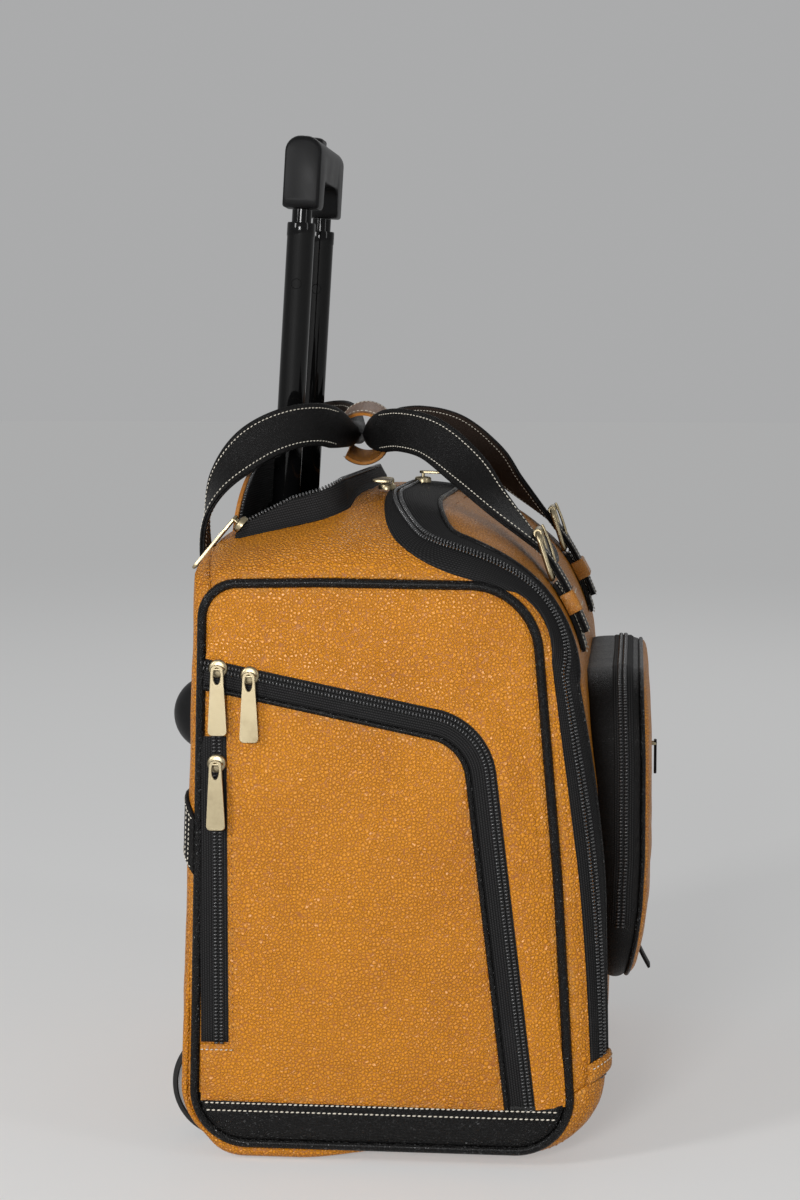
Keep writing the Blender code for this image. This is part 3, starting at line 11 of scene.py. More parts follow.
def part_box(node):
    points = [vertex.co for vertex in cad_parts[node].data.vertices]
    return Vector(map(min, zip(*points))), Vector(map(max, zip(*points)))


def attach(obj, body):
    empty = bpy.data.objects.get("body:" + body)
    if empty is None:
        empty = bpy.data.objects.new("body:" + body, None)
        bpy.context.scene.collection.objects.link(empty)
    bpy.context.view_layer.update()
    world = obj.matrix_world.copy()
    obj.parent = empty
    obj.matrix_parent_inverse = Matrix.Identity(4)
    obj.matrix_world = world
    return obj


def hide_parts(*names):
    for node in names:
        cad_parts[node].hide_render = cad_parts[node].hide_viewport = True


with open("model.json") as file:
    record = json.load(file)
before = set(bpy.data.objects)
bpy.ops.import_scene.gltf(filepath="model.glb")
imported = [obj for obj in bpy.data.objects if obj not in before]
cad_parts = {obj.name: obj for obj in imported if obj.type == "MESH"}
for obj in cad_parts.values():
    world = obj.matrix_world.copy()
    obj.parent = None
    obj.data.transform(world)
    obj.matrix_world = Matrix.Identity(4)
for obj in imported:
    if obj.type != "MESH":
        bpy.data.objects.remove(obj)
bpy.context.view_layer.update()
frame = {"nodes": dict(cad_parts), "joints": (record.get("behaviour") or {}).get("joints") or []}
scene = bpy.context.scene
jointAt = {joint["name"]: joint for joint in frame["joints"]}

# The case is drawn about its own middle plane, as it was designed, and moved to the frame's place at the end
body = dict(half=0.220, sideRound=0.020, topRound=0.150, wheelX=-0.1285, cordRadius=0.0032,
            middle=(-0.01, 0.0, 0.22))
sideCorners = ((-0.1345, 0.3970, 0.024), (-0.1435, 0.0125, 0.036), (0.1160, 0.0125, 0.037),
               (0.1050, 0.2000, 1.480), (0.0880, 0.3970, 0.047), (-0.0560, 0.3985, 0.300))
outerCorners = ((-0.1420, 0.4250, 0.030), (-0.1560, 0.0080, 0.045), (0.1385, 0.0080, 0.056),
                (0.1345, 0.2000, 0.500), (0.1085, 0.4520, 0.140), (-0.0440, 0.4520, 0.100))
roundAt = (("top", "side"), ("side", "side"), ("side", "side"), ("side", "side"), ("side", "top"),
           ("top", "top"))
# places round the outline: corner number + share of its arc
seamBack, backFoot, lidFoot, ridge = 0.25, 1.0, 2.5, 4.5
zipLine = ((2.5, 0.0275), (3.333, 0.0245), (4.0, 0.0225), (4.3125, 0.0240), (4.406, 0.0300), (4.5, 0.0450))
bothSides = (("near", -1), ("far", 1))
flip = np.array((1, -1, 1))  # mirrors a point at the middle plane
nearSide, farSide = (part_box(word + "_side_panel") for word, way in bothSides)
shift = np.array((jointAt["wheel_near_spin"]["pos_m"][0] - body["wheelX"],
                  (nearSide[0].y + farSide[1].y) / 2, 0.0))
print("frame loaded:", len(frame["nodes"]), "nodes, moved by", shift.round(4))


# Lines and outlines
def unit(v):
    return v / np.maximum(np.linalg.norm(v, axis=-1, keepdims=True), 1e-12)


def smoothStep(x):
    x = np.clip(x, 0, 1)
    return x * x * (3 - 2 * x)


def lengthsOf(path):  # distance walked from the start to each point
    return np.concatenate([[0], np.cumsum(np.linalg.norm(np.diff(np.asarray(path), axis=0), axis=1))])


def evenly(path, spacing, closed=False):
    path = np.asarray(path, float)
    if closed:
        path = np.concatenate([path, path[:1]])
    walked = lengthsOf(path)
    count = max(int(round(walked[-1] / spacing)), 2)
    at = np.linspace(0, walked[-1], count + 1)[:count if closed else None]
    return np.stack([np.interp(at, walked, path[:, k]) for k in range(path.shape[1])], 1)


def smoothPath(marks, steps):  # Catmull-Rom through the marks
    marks = np.asarray(marks, float)
    padded = np.concatenate([marks[:1], marks, marks[-1:]])
    t = (np.arange(steps) / steps)[:, None]
    path = []
    for k in range(len(marks) - 1):
        a, b, c, d = padded[k:k + 4]
        bends = (2 * a - 5 * b + 4 * c - d) * t ** 2 + (3 * b - a - 3 * c + d) * t ** 3
        path.append((2 * b + (c - a) * t + bends) / 2)
    return np.concatenate(path + [marks[-1:]])


def circleOf(radius, count):
    t = np.arange(count) * 2 * pi / count
    return np.stack([np.cos(t) * radius, np.sin(t) * radius], 1)


def withMirror(half):  # a flat half outline, then its mirror run back
    half = np.asarray(half)
    return np.concatenate([half, half[::-1] * (-1, 1)])


def outwardOf(run):  # a quarter turn to the right of each direction in a flat outline
    return np.stack([run[:, 1], -run[:, 0]], 1)


def ringRun(loop):  # directions along a closed outline
    return np.roll(loop, -1, 0) - np.roll(loop, 1, 0)


def cornerArc(before, here, after, radius, steps):  # the arc that rounds a corner
    here = np.array(here)
    back, ahead = (unit(np.array(other) - here) for other in (before, after))
    half = acos(np.clip(back @ ahead, -1, 1)) / 2
    centre = here + unit(back + ahead) * radius / sin(half)
    start, end = (here + run * radius / tan(half) - centre for run in (back, ahead))
    turn = atan2(start[0] * end[1] - start[1] * end[0], start @ end)
    angle = turn * np.arange(steps + 1)[:, None] / steps
    return centre + start * np.cos(angle) + np.array((-start[1], start[0])) * np.sin(angle)


# The skin: u counts corners; half of each unit is the corner's arc and the rest the straight after it
def outlineTable(corners, steps=32):
    count = len(corners)
    places = [k + 0.5 * step / steps for k in range(count) for step in range(steps + 1)]
    points = np.concatenate([cornerArc(corners[k - 1][:2], (x, z), corners[(k + 1) % count][:2], radius,
                                       steps) for k, (x, z, radius) in enumerate(corners)])
    return np.array(places + [count]), np.concatenate([points, points[:1]])


def roundTable():
    size = dict(top=body["topRound"], side=body["sideRound"])
    places = [k + share for k in range(len(roundAt)) for share in (0.0, 0.5)] + [len(roundAt)]
    values = [size[word] for pair in roundAt for word in pair] + [size[roundAt[0][0]]]
    return np.array(places), np.array(values)


sideTable, outerTable, roundingTable = outlineTable(sideCorners), outlineTable(outerCorners), roundTable()
quarter = np.linspace(0, pi / 2, 49)  # angles over the round, from the side edge (0) to the flat middle


def follow(table, u):
    places, values = table
    u = np.mod(u, places[-1])
    if values.ndim == 1:
        return np.interp(u, places, values)
    return np.stack([np.interp(u, places, values[:, k]) for k in (0, 1)], -1)


def skin(u, angle, side=-1):
    edge, outer, rounding = (follow(table, u) for table in (sideTable, outerTable, roundingTable))
    flat = edge + (outer - edge) * np.sin(angle)[..., None]
    y = side * (body["half"] - rounding * (1 - np.cos(angle)))
    return np.stack([flat[..., 0], y + 0 * flat[..., 0], flat[..., 1]], -1)


def skinNormal(u, angle, side=-1):
    du, da = 0.012, 0.02
    low, high = np.maximum(angle - da, 0.0), np.minimum(angle + da, pi / 2)
    across = skin(u, high, side) - skin(u, low, side)
    run = skin(u + du, angle, side) - skin(u - du, angle, side)
    out = unit(np.cross(across, run))
    return out * np.sign((out * (skin(u, angle, side) - body["middle"])).sum(-1, keepdims=True))


def skinLine(u, side=-1):  # points over the round and their distances from the side edge
    line = skin(np.full(len(quarter), u), quarter, side)
    return line, lengthsOf(line)


# points and normals at distances from the side edge, on across the flat middle
def skinRow(u, reach, side=-1):
    line, walked = skinLine(u, side)
    angle = np.interp(reach, walked, quarter)
    places = np.full(len(reach), u)
    points = skin(places, angle, side)
    points[:, 1] -= side * np.maximum(reach - walked[-1], 0.0)
    return points, skinNormal(places, angle, side)


def middleReach(u):  # distance from the side edge to the middle of the case
    line, walked = skinLine(u)
    return walked[-1] + abs(line[-1, 1])


def edgeReach(u):  # where the skin has come clear of the middle of the piping cord
    line, walked = skinLine(u)
    x, z = follow(sideTable, u)
    away = np.linalg.norm(line * flip - (x, body["half"], z), axis=1)
    return np.interp(body["cordRadius"] * 0.9, away, walked)


def zipReach(u):
    return np.interp(u, *np.array(zipLine).T)


# Meshes are plain arrays until they become a piece
def gridFaces(rows, columns, closeRows=False, closeColumns=False):
    r = np.arange(rows if closeRows else rows - 1)
    c = np.arange(columns if closeColumns else columns - 1)
    r, c = (a.ravel() for a in np.meshgrid(r, c, indexing="ij"))
    r2, c2 = (r + 1) % rows, (c + 1) % columns
    return np.stack([r * columns + c, r * columns + c2, r2 * columns + c2, r2 * columns + c], 1)


def join(*parts):
    verts, faces, first = [], [], 0
    for v, f in parts:
        verts.append(np.reshape(v, (-1, 3)))
        faces += [[k + first for k in face] for face in f]
        first += len(verts[-1])
    return np.concatenate(verts), faces


def loftOf(rings, closed=False):  # a skin over rings of points, capped at both ends unless it runs round
    rings = np.asarray(rings)
    rows, count = rings.shape[:2]
    faces = gridFaces(rows, count, closed, True).tolist()
    if not closed:
        faces += [list(range(count))[::-1], list(range((rows - 1) * count, rows * count))]
    return rings.reshape(-1, 3), faces


def frames(path, facing, closed=False):  # the direction across, and the facing made square to the run
    path = np.asarray(path, float)
    run = unit(ringRun(path) if closed else np.gradient(path, axis=0))
    facing = np.broadcast_to(np.asarray(facing, float), path.shape)
    facing = unit(facing - run * (facing * run).sum(1, keepdims=True))
    return np.cross(facing, run), facing


def cordOf(path, facing, section, closed=False):  # section: (across, out) pairs, one list or one per ring
    width, out = frames(path, facing, closed)
    section = np.broadcast_to(section, (len(path),) + np.shape(section)[-2:])
    rings = np.asarray(path)[:, None] + width[:, None] * section[..., :1] + out[:, None] * section[..., 1:]
    return loftOf(rings, closed)


def turnedOf(profile, centre, axis, count):  # profile: (radius, along) pairs, closed round
    axis = unit(np.asarray(axis, float))
    first = unit(np.cross(axis, (0.31, 0.62, 0.72)))
    second = np.cross(axis, first)
    t = np.arange(count) * 2 * pi / count
    spin = np.cos(t)[:, None] * first + np.sin(t)[:, None] * second
    profile = np.asarray(profile, float)
    verts = np.asarray(centre) + profile[:, None, :1] * spin[None] + profile[:, None, 1:] * axis
    return verts.reshape(-1, 3), gridFaces(len(profile), count, True, True).tolist()


# Camera and stage: the photo's viewpoint, a pale floor and wide soft lights at a plain level
view = dict(eye=(0.1544, -1.8106, 0.5391), look=(-0.0978, 1.0, -0.0954), lens=72.18, sensor=36.0,
            clip=(0.05, 60.0))
studio = dict(sky=(0.200, 0.204, 0.208), seen=(0.405, 0.407, 0.410), floor=(0.80, 0.80, 0.79), floorSize=24.0,
              lift=0.36, glow=0.86, aim=(0, 0, 0.30),
              lights=(("keyLight", (-0.30, -2.30, 0.72), 0.50, 0.40, 28.0),  # place, width, height, power
                      ("sideLight", (2.4, -1.5, 1.2), 0.4, 1.7, 10.0),
                      ("leftLight", (-1.45, -1.60, 1.15), 0.35, 0.6, 16.0),
                      ("backLight", (0.4, 2.6, 2.5), 1.8, 1.0, 12.0)))
cameraData = bpy.data.cameras.new("photoCamera")
camera = bpy.data.objects.new("photoCamera", cameraData)
scene.collection.objects.link(camera)
scene.camera = camera
cameraData.lens, cameraData.sensor_width = view["lens"], view["sensor"]
cameraData.clip_start, cameraData.clip_end = view["clip"]
camera.location = Vector(view["eye"]) + Vector(shift)
camera.rotation_euler = Vector(view["look"]).to_track_quat("-Z", "Y").to_euler()
scene.view_settings.view_transform = "Standard"


def shownShare(tree):  # 1 where the camera, a reflection or clear matter looks straight at the backdrop
    path = tree.nodes.new("ShaderNodeLightPath").outputs
    share = path["Is Camera Ray"]
    for label in ("Is Glossy Ray", "Is Transmission Ray"):
        most = tree.nodes.new("ShaderNodeMath")
        most.operation = "MAXIMUM"
        tree.links.new(share, most.inputs[0])
        tree.links.new(path[label], most.inputs[1])
        share = most.outputs[0]
    return share


def showInstead(tree, share, plain, shown, end):  # the second shader takes over from the first by the share
    either = tree.nodes.new("ShaderNodeMixShader")
    for k, socket in enumerate((share, plain.outputs[0], shown.outputs[0])):
        tree.links.new(socket, either.inputs[k])
    tree.links.new(either.outputs[0], tree.nodes[end].inputs["Surface"])


world = bpy.data.worlds.new("studio")
scene.world = world
world.use_nodes = True
sky = world.node_tree
plain, seen = sky.nodes["Background"], sky.nodes.new("ShaderNodeBackground")
plain.inputs["Color"].default_value = (*studio["sky"], 1.0)
seen.inputs["Color"].default_value = (*studio["seen"], 1.0)
showInstead(sky, shownShare(sky), plain, seen, "World Output")
for name, place, wide, high, power in studio["lights"]:
    lamp = bpy.data.lights.new(name, "AREA")
    lamp.shape, lamp.size, lamp.size_y, lamp.energy = "RECTANGLE", wide, high, power
    holder = bpy.data.objects.new(name, lamp)
    scene.collection.objects.link(holder)
    holder.location = place
    holder.rotation_euler = (Vector(studio["aim"]) - Vector(place)).to_track_quat("-Z", "Y").to_euler()
    holder.visible_camera = False
print("camera and lights set")


# Shader groups shared by the materials
def put(tree, kind, settings=None, **inputs):
    node = tree.nodes.new(kind)
    for key, value in (settings or {}).items():
        setattr(node, key, value)
    for key, value in inputs.items():
        socket = node.inputs[int(key[1:])] if key[0] == "i" and key[1:].isdigit() else node.inputs[key]
        if isinstance(value, bpy.types.NodeSocket):
            tree.links.new(value, socket)
        else:
            socket.default_value = value
    return node


def calc(tree, operation, *values):
    inputs = {"i%d" % k: value for k, value in enumerate(values)}
    return put(tree, "ShaderNodeMath", dict(operation=operation), **inputs).outputs[0]


def ramp(tree, value, low, high, start=0.0, end=1.0):
    smooth = dict(interpolation_type="SMOOTHSTEP")
    return put(tree, "ShaderNodeMapRange", smooth, i0=value, i1=low, i2=high, i3=start, i4=end).outputs[0]


def blendColour(tree, share, first, second):
    node = put(tree, "ShaderNodeMix", dict(data_type="RGBA"))
    for key, value in (("Factor_Float", share), ("A_Color", first), ("B_Color", second)):
        socket = next(s for s in node.inputs if s.identifier == key)
        if isinstance(value, bpy.types.NodeSocket):
            tree.links.new(value, socket)
        else:
            socket.default_value = (*value, 1.0)
    return next(s for s in node.outputs if s.identifier == "Result_Color")


def clamped(tree, value):
    return put(tree, "ShaderNodeClamp", Value=value).outputs[0]


def noiseOf(tree, vector, scale, detail=3.0, roughness=0.55):
    return put(tree, "ShaderNodeTexNoise", Vector=vector, Scale=scale, Detail=detail,
               Roughness=roughness).outputs


def shaderGroup(name, inputs, outputs, build):
    group = bpy.data.node_groups.new(name, "ShaderNodeTree")
    group.interface.new_socket("Vector", in_out="INPUT", socket_type="NodeSocketVector")
    for label, value in inputs.items():
        socket = group.interface.new_socket(label, in_out="INPUT", socket_type="NodeSocketFloat")
        socket.default_value = value
    for label in outputs:
        group.interface.new_socket(label, in_out="OUTPUT", socket_type="NodeSocketFloat")
    source, end = group.nodes.new("NodeGroupInput"), group.nodes.new("NodeGroupOutput")
    for label, socket in build(group, source.outputs).items():
        group.links.new(socket, end.inputs[label])
    return group


pebble = dict(warpScale=0.45, warpPush=0.40, scatter=0.94, dome=0.34, crease=0.13, uneven=0.06, level=0.92,
              fineScale=3.2, fine=0.02, patchScale=14.0, patch=0.94)


def buildPebble(tree, given):  # raised cells parted by creases, uneven in size and height
    vector, cells = given["Vector"], given["Cells"]
    warp = noiseOf(tree, vector, calc(tree, "MULTIPLY", cells, pebble["warpScale"]), 2.0)["Color"]
    push = calc(tree, "DIVIDE", pebble["warpPush"], cells)
    offset = put(tree, "ShaderNodeVectorMath", dict(operation="SCALE"), i0=warp, Scale=push).outputs[0]
    place = put(tree, "ShaderNodeVectorMath", dict(operation="ADD"), i0=vector, i1=offset).outputs[0]
    edges, plain = (put(tree, "ShaderNodeTexVoronoi", dict(feature=kind), Vector=place, Scale=cells,
                        Randomness=pebble["scatter"]).outputs for kind in ("DISTANCE_TO_EDGE", "F1"))
    dome = ramp(tree, edges["Distance"], 0.0, pebble["dome"])
    each = put(tree, "ShaderNodeSeparateColor", i0=plain["Color"]).outputs[0]
    fine = noiseOf(tree, vector, calc(tree, "MULTIPLY", cells, pebble["fineScale"]), 2.0)[0]
    height = calc(tree, "MULTIPLY", dome, calc(tree, "MULTIPLY_ADD", each, pebble["uneven"], pebble["level"]))
    patch = calc(tree, "MULTIPLY", noiseOf(tree, vector, pebble["patchScale"], 4.0, 0.6)[0], pebble["patch"])
    return {"Height": calc(tree, "MULTIPLY_ADD", fine, pebble["fine"], height),
            "Crease": ramp(tree, edges["Distance"], 0.0, pebble["crease"], 1.0, 0.0),
            "Tone": calc(tree, "MULTIPLY_ADD", each, pebble["uneven"], patch)}


def buildWeave(tree, given):  # threads along and across a tape, from sizes along it in metres
    part = put(tree, "ShaderNodeSeparateXYZ", Vector=given["Vector"]).outputs
    along, across = (calc(tree, "DIVIDE", part[k], given["Pitch"]) for k in (0, 1))
    slope = calc(tree, "MULTIPLY_ADD", calc(tree, "FLOOR", across), 0.5, along)
    rib, knot = (calc(tree, "ABSOLUTE", calc(tree, "SINE", calc(tree, "MULTIPLY", value, pi)))
                 for value in (across, slope))
    return {"Height": calc(tree, "MULTIPLY", rib, calc(tree, "MULTIPLY_ADD", knot, 0.7, 0.3)), "Knot": knot}


def buildWear(tree, given):  # rubbed rims, dust in patches and uneven handling marks
    vector = given["Vector"]
    broken = ramp(tree, noiseOf(tree, vector, 160.0, 4.0, 0.65)[0], 0.42, 0.68)
    return {"Rubbed": calc(tree, "MULTIPLY", given["Rim"], broken),
            "Dust": ramp(tree, noiseOf(tree, vector, 22.0, 5.0, 0.65)[0], 0.52, 0.78),
            "Marks": noiseOf(tree, vector, 48.0, 3.0, 0.6)[0]}


pebbleGroup = shaderGroup("pebbleGrain", dict(Cells=450.0), ("Height", "Crease", "Tone"), buildPebble)
weaveGroup = shaderGroup("tapeWeave", dict(Pitch=0.0008), ("Height", "Knot"), buildWeave)
wearGroup = shaderGroup("surfaceWear", dict(Rim=0.0), ("Rubbed", "Dust", "Marks"), buildWear)


# Materials: the amounts that every finish of a kind shares stand beside its function
def openMaterial(name):
    material = bpy.data.materials.new(name)
    material.use_nodes = True
    tree = material.node_tree
    place = put(tree, "ShaderNodeTexCoord").outputs["Object"]
    rim = put(tree, "ShaderNodeAttribute", dict(attribute_name="rim")).outputs["Fac"]
    wear = put(tree, "ShaderNodeGroup", dict(node_tree=wearGroup), Vector=place, Rim=rim).outputs
    return material, tree, place, rim, wear


def finishMaterial(tree, colour, rough, height, strength, depth, **fixed):
    shader = tree.nodes["Principled BSDF"]
    bump = put(tree, "ShaderNodeBump", Height=height, Strength=strength, Distance=depth).outputs[0]
    for label, socket in (("Base Color", colour), ("Roughness", rough), ("Normal", bump)):
        tree.links.new(socket, shader.inputs[label])
    for label, value in fixed.items():
        shader.inputs[label.replace("_", " ")].default_value = value


# crease: how far the grain's creases are darkened towards the deep colour, a painted shade
leatherLook = dict(crease=0.78, tone=(0.30, 0.80, 0.0, 0.22), rubbed=0.25, creaseRough=0.22, marks=0.18,
                   coatRough=0.28)


def leather(name, bright, deep, cells, depth, smooth, coat=0.0, rimShade=0.35, worn=(0.5, 0.33, 0.14),
            gloss=0.45):
    look = leatherLook
    material, tree, place, rim, wear = openMaterial(name)
    grain = put(tree, "ShaderNodeGroup", dict(node_tree=pebbleGroup), Vector=place, Cells=cells).outputs
    # The grain's creases are darkened towards the deep colour as painted shade; the tone that varies from cell
    # to cell is the leather's own
    share = calc(tree, "MULTIPLY_ADD", grain["Crease"], look["crease"],
                 ramp(tree, grain["Tone"], *look["tone"]))
    # Near the sheet's rolled rim the colour darkens further: painted shade where the edge rolls down into its
    # seam
    share = clamped(tree, calc(tree, "MULTIPLY_ADD", rim, rimShade, share))
    colour = blendColour(tree, share, bright, deep)
    colour = blendColour(tree, calc(tree, "MULTIPLY", wear["Rubbed"], look["rubbed"]), colour, worn)
    rough = calc(tree, "MULTIPLY_ADD", wear["Marks"], look["marks"], smooth - look["marks"] / 2)
    rough = calc(tree, "MULTIPLY_ADD", grain["Crease"], look["creaseRough"], rough)
    finishMaterial(tree, colour, rough, grain["Height"], 1.0, depth, Coat_Weight=coat,
                   Coat_Roughness=look["coatRough"], Specular_IOR_Level=gloss)
    return material


clothLook = dict(dust=0.3, knot=-0.15, rough=0.78, bump=0.9, depth=0.00025, gloss=0.08)


# plain cloth lies by its place, a tape by its own run
def woven(name, bright, deep, pitch, plain=False):
    look = clothLook
    material, tree, place, rim, wear = openMaterial(name)
    along = put(tree, "ShaderNodeUVMap", dict(uv_map="sizes")).outputs[0]
    if plain:
        part = put(tree, "ShaderNodeSeparateXYZ", Vector=place).outputs
        along = put(tree, "ShaderNodeCombineXYZ", X=calc(tree, "ADD", part[0], part[1]), Y=part[2]).outputs[0]
    threads = put(tree, "ShaderNodeGroup", dict(node_tree=weaveGroup), Vector=along, Pitch=pitch).outputs
    share = clamped(tree, calc(tree, "MULTIPLY_ADD", wear["Dust"], look["dust"], threads["Height"]))
    rough = calc(tree, "MULTIPLY_ADD", threads["Knot"], look["knot"], look["rough"])
    finishMaterial(tree, blendColour(tree, share, deep, bright), rough, threads["Height"], look["bump"],
                   look["depth"], Specular_IOR_Level=look["gloss"])
    return material


hardLook = dict(dust=0.45, marks=0.5, rubbed=-0.6, markRough=0.16, bump=0.6, coatRough=0.06)


def hardSurface(name, slot, bright, deep, smooth, metal=0.0, coat=0.0, grain=900.0, depth=0.00004, gloss=0.5):
    look = hardLook
    material, tree, place, rim, wear = openMaterial(name)
    share = calc(tree, "MULTIPLY_ADD", wear["Dust"], look["dust"],
                 calc(tree, "MULTIPLY", wear["Marks"], look["marks"]))
    share = clamped(tree, calc(tree, "MULTIPLY_ADD", wear["Rubbed"], look["rubbed"], share))
    rough = calc(tree, "MULTIPLY_ADD", wear["Marks"], look["markRough"], smooth - look["markRough"] / 2)
    finishMaterial(tree, blendColour(tree, share, bright, deep), rough, noiseOf(tree, place, grain, 2.0)[0],
                   look["bump"], depth, Metallic=metal, Specular_IOR_Level=gloss, Coat_Weight=coat,
                   Coat_Roughness=look["coatRough"])
    return material


amber = leather("amberLeather", (0.640, 0.240, 0.006), (0.250, 0.068, 0.001), cells=410.0,
                depth=0.00070, smooth=0.36, rimShade=0.12, worn=(0.60, 0.36, 0.12), gloss=0.44)
# The lid's leather: a darker copy of the amber leather, painted shade for the lid that faces away from the
# light
amberShaded = leather("amberShaded", (0.500, 0.190, 0.009), (0.230, 0.070, 0.002), cells=410.0,
                    depth=0.00040, smooth=0.38, rimShade=0.12, worn=(0.50, 0.30, 0.10), gloss=0.30)
amberSmooth = leather("amberSmooth", (0.560, 0.215, 0.012), (0.300, 0.098, 0.004), cells=640.0,
                      depth=0.00026, smooth=0.40, coat=0.10, rimShade=0.25)
amberEdge = leather("amberEdge", (0.600, 0.235, 0.020), (0.300, 0.090, 0.006), cells=1500.0,
                    depth=0.00016, smooth=0.60)
# Brown for the outside of the handle wrap: its leather darkened as painted shade
wrapShadeBrown = leather("wrapShadeBrown", (0.230, 0.100, 0.034), (0.095, 0.040, 0.014), cells=800.0,
                   depth=0.00020, smooth=0.42, coat=0.10)
blackLeather = leather("blackLeather", (0.0058, 0.0054, 0.0054), (0.0028, 0.0026, 0.0026),
                       cells=820.0, depth=0.00018, smooth=0.38, rimShade=0.2, worn=(0.018, 0.016, 0.014),
                       gloss=0.15)
blackPebble = leather("blackPebble", (0.0055, 0.0052, 0.0052), (0.0016, 0.0015, 0.0015),
                      cells=540.0, depth=0.00060, smooth=0.24, coat=0.06, rimShade=0.1,
                      worn=(0.014, 0.013, 0.012), gloss=0.17)
brownInside = leather("brownInside", (0.026, 0.014, 0.008), (0.012, 0.006, 0.004),
                      cells=1700.0, depth=0.00014, smooth=0.66, rimShade=0.2, worn=(0.060, 0.036, 0.020),
                      gloss=0.3)
tape = woven("wovenTape", (0.0260, 0.0255, 0.0260), (0.0022, 0.0022, 0.0022), 0.0017)
liningCloth = woven("liningCloth", (0.050, 0.048, 0.050), (0.014, 0.013, 0.014), 0.0016, True)
teethNylon = hardSurface("teethNylon", "zip_tape", (0.0440, 0.0440, 0.0450), (0.0140, 0.0140, 0.0140), 0.24,
                         coat=0.35)
brass = hardSurface("antiqueBrass", "antique_brass", (0.430, 0.365, 0.235), (0.150, 0.112, 0.062), 0.36,
                    metal=1.0, grain=1400.0, depth=0.00005)
tubeGloss = hardSurface("tubeGloss", "gloss_tube", (0.0026, 0.0026, 0.0028), (0.0045, 0.0045, 0.0045), 0.16,
                        coat=0.28, grain=400.0, depth=0.00001, gloss=0.06)
satinBlack = hardSurface("satinBlack", "black_plastic", (0.0070, 0.0070, 0.0075), (0.0110, 0.0110, 0.0110),
                         0.40, grain=2200.0, depth=0.00006, gloss=0.11)
rubber = hardSurface("tyreRubber", "tyre_rubber", (0.012, 0.012, 0.012), (0.022, 0.021, 0.020), 0.70,
                     grain=1600.0, depth=0.00008, gloss=0.3)
wheelGrey = hardSurface("wheelGrey", "wheel_grey", (0.270, 0.272, 0.278), (0.170, 0.170, 0.172), 0.48,
                        grain=1500.0)
steel = hardSurface("axleSteel", "axle_steel", (0.560, 0.560, 0.570), (0.300, 0.300, 0.310), 0.30, metal=1.0)
waxed = dict(smooth=0.62, grain=3200.0, depth=0.00008)
thread = hardSurface("waxedThread", "black_leather", (0.700, 0.655, 0.560), (0.420, 0.380, 0.310), **waxed)
threadAmber = hardSurface("amberThread", "tan_leather", (0.260, 0.096, 0.010), (0.120, 0.040, 0.004), **waxed)
paleFloor = hardSurface("paleFloor", None, studio["floor"], tuple(c * 0.985 for c in studio["floor"]), 0.70,
                        grain=60.0, gloss=0.0)
print("materials ready:", len(bpy.data.materials))

floorTree = paleFloor.node_tree
glow = floorTree.nodes.new("ShaderNodeEmission")
glow.inputs["Color"].default_value = (*[studio["glow"]] * 3, 1.0)
showInstead(floorTree, calc(floorTree, "MULTIPLY", shownShare(floorTree), studio["lift"]),
            floorTree.nodes["Principled BSDF"], glow, "Material Output")
floorMesh = bpy.data.meshes.new("floor")
size = studio["floorSize"]
floorMesh.from_pydata([(-size, -size, 0), (size, -size, 0), (size, size, 0), (-size, size, 0)], [],
                      [(0, 1, 2, 3)])
floorMesh.materials.append(paleFloor)
floor = bpy.data.objects.new("floor", floorMesh)
scene.collection.objects.link(floor)


# From arrays to pieces: each rides a body and stands for CAD nodes
def objectOf(name, mesh, materials, faceMaterial=None, rim=None, sizes=None, angle=38):
    verts, faces = mesh
    data = bpy.data.meshes.new(name)
    data.from_pydata((np.asarray(verts) + shift).tolist(), [], [list(map(int, face)) for face in faces])
    for material in materials:
        data.materials.append(material)
    if faceMaterial is not None:
        data.polygons.foreach_set("material_index", np.asarray(faceMaterial, np.int32))
    if rim is not None:
        held = data.attributes.new("rim", "FLOAT", "POINT")
        held.data.foreach_set("value", np.asarray(rim, np.float32).ravel())
    if sizes is not None:
        layer = data.uv_layers.new(name="sizes")
        corner = np.empty(len(data.loops), np.int32)
        data.loops.foreach_get("vertex_index", corner)
        layer.data.foreach_set("uv", np.asarray(sizes, np.float32).reshape(-1, 2)[corner].ravel())
    work = bmesh.new()
    work.from_mesh(data)
    bmesh.ops.recalc_face_normals(work, faces=work.faces)
    work.to_mesh(data)
    work.free()
    data.polygons.foreach_set("use_smooth", np.ones(len(data.polygons), bool))
    data.set_sharp_from_angle(angle=radians(angle))
    made = bpy.data.objects.new(name, data)
    scene.collection.objects.link(made)
    return made


def settle(made, bodyName, node=None):
    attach(made, bodyName)
    if node:
        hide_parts(node)
    return made


def piece(name, mesh, material, bodyName, node=None, **more):
    materials = material if isinstance(material, list) else [material]
    return settle(objectOf(name, mesh, materials, **more), bodyName, node)


def bake(made):  # the evaluated shape as a plain mesh, without its modifiers
    bpy.context.view_layer.update()
    plain = bpy.data.meshes.new_from_object(made.evaluated_get(bpy.context.evaluated_depsgraph_get()))
    made.modifiers.clear()
    made.data = plain
    plain.name = made.name
    return plain


# Sheets: a face with rolled edges and an inside; they come as (mesh, nearness of each point to the rim)
sheetLook = dict(rim=0.010, roundness=0.999, swell=26.0, ripple=70.0, calm=0.02, flatSwell=40.0,
                 flatCalm=0.012)


def lined(mesh):  # the second half of a sheet's points is its inside
    half = len(mesh[0]) // 2
    return [1 if min(face) >= half else 0 for face in mesh[1]]


# two materials: the outside and the lining
def sheetPiece(name, sheet, material, bodyName, node=None, **more):
    mesh, rim = sheet
    if isinstance(material, list):
        more.setdefault("faceMaterial", lined(mesh))
    return piece(name, mesh, material, bodyName, node, rim=rim, **more)


def wobble(points, size, scale):  # slow unevenness of stuffed leather
    return size * np.array([noise.noise(Vector(p * scale)) for p in points.reshape(-1, 3)])


def rolledEdge(away, roll, rollWidth):  # how far the face sinks near its rim
    turned = np.clip(1 - away / rollWidth, 0, 1)
    return -roll * (1 - np.sqrt(1 - turned ** 2 * sheetLook["roundness"]))


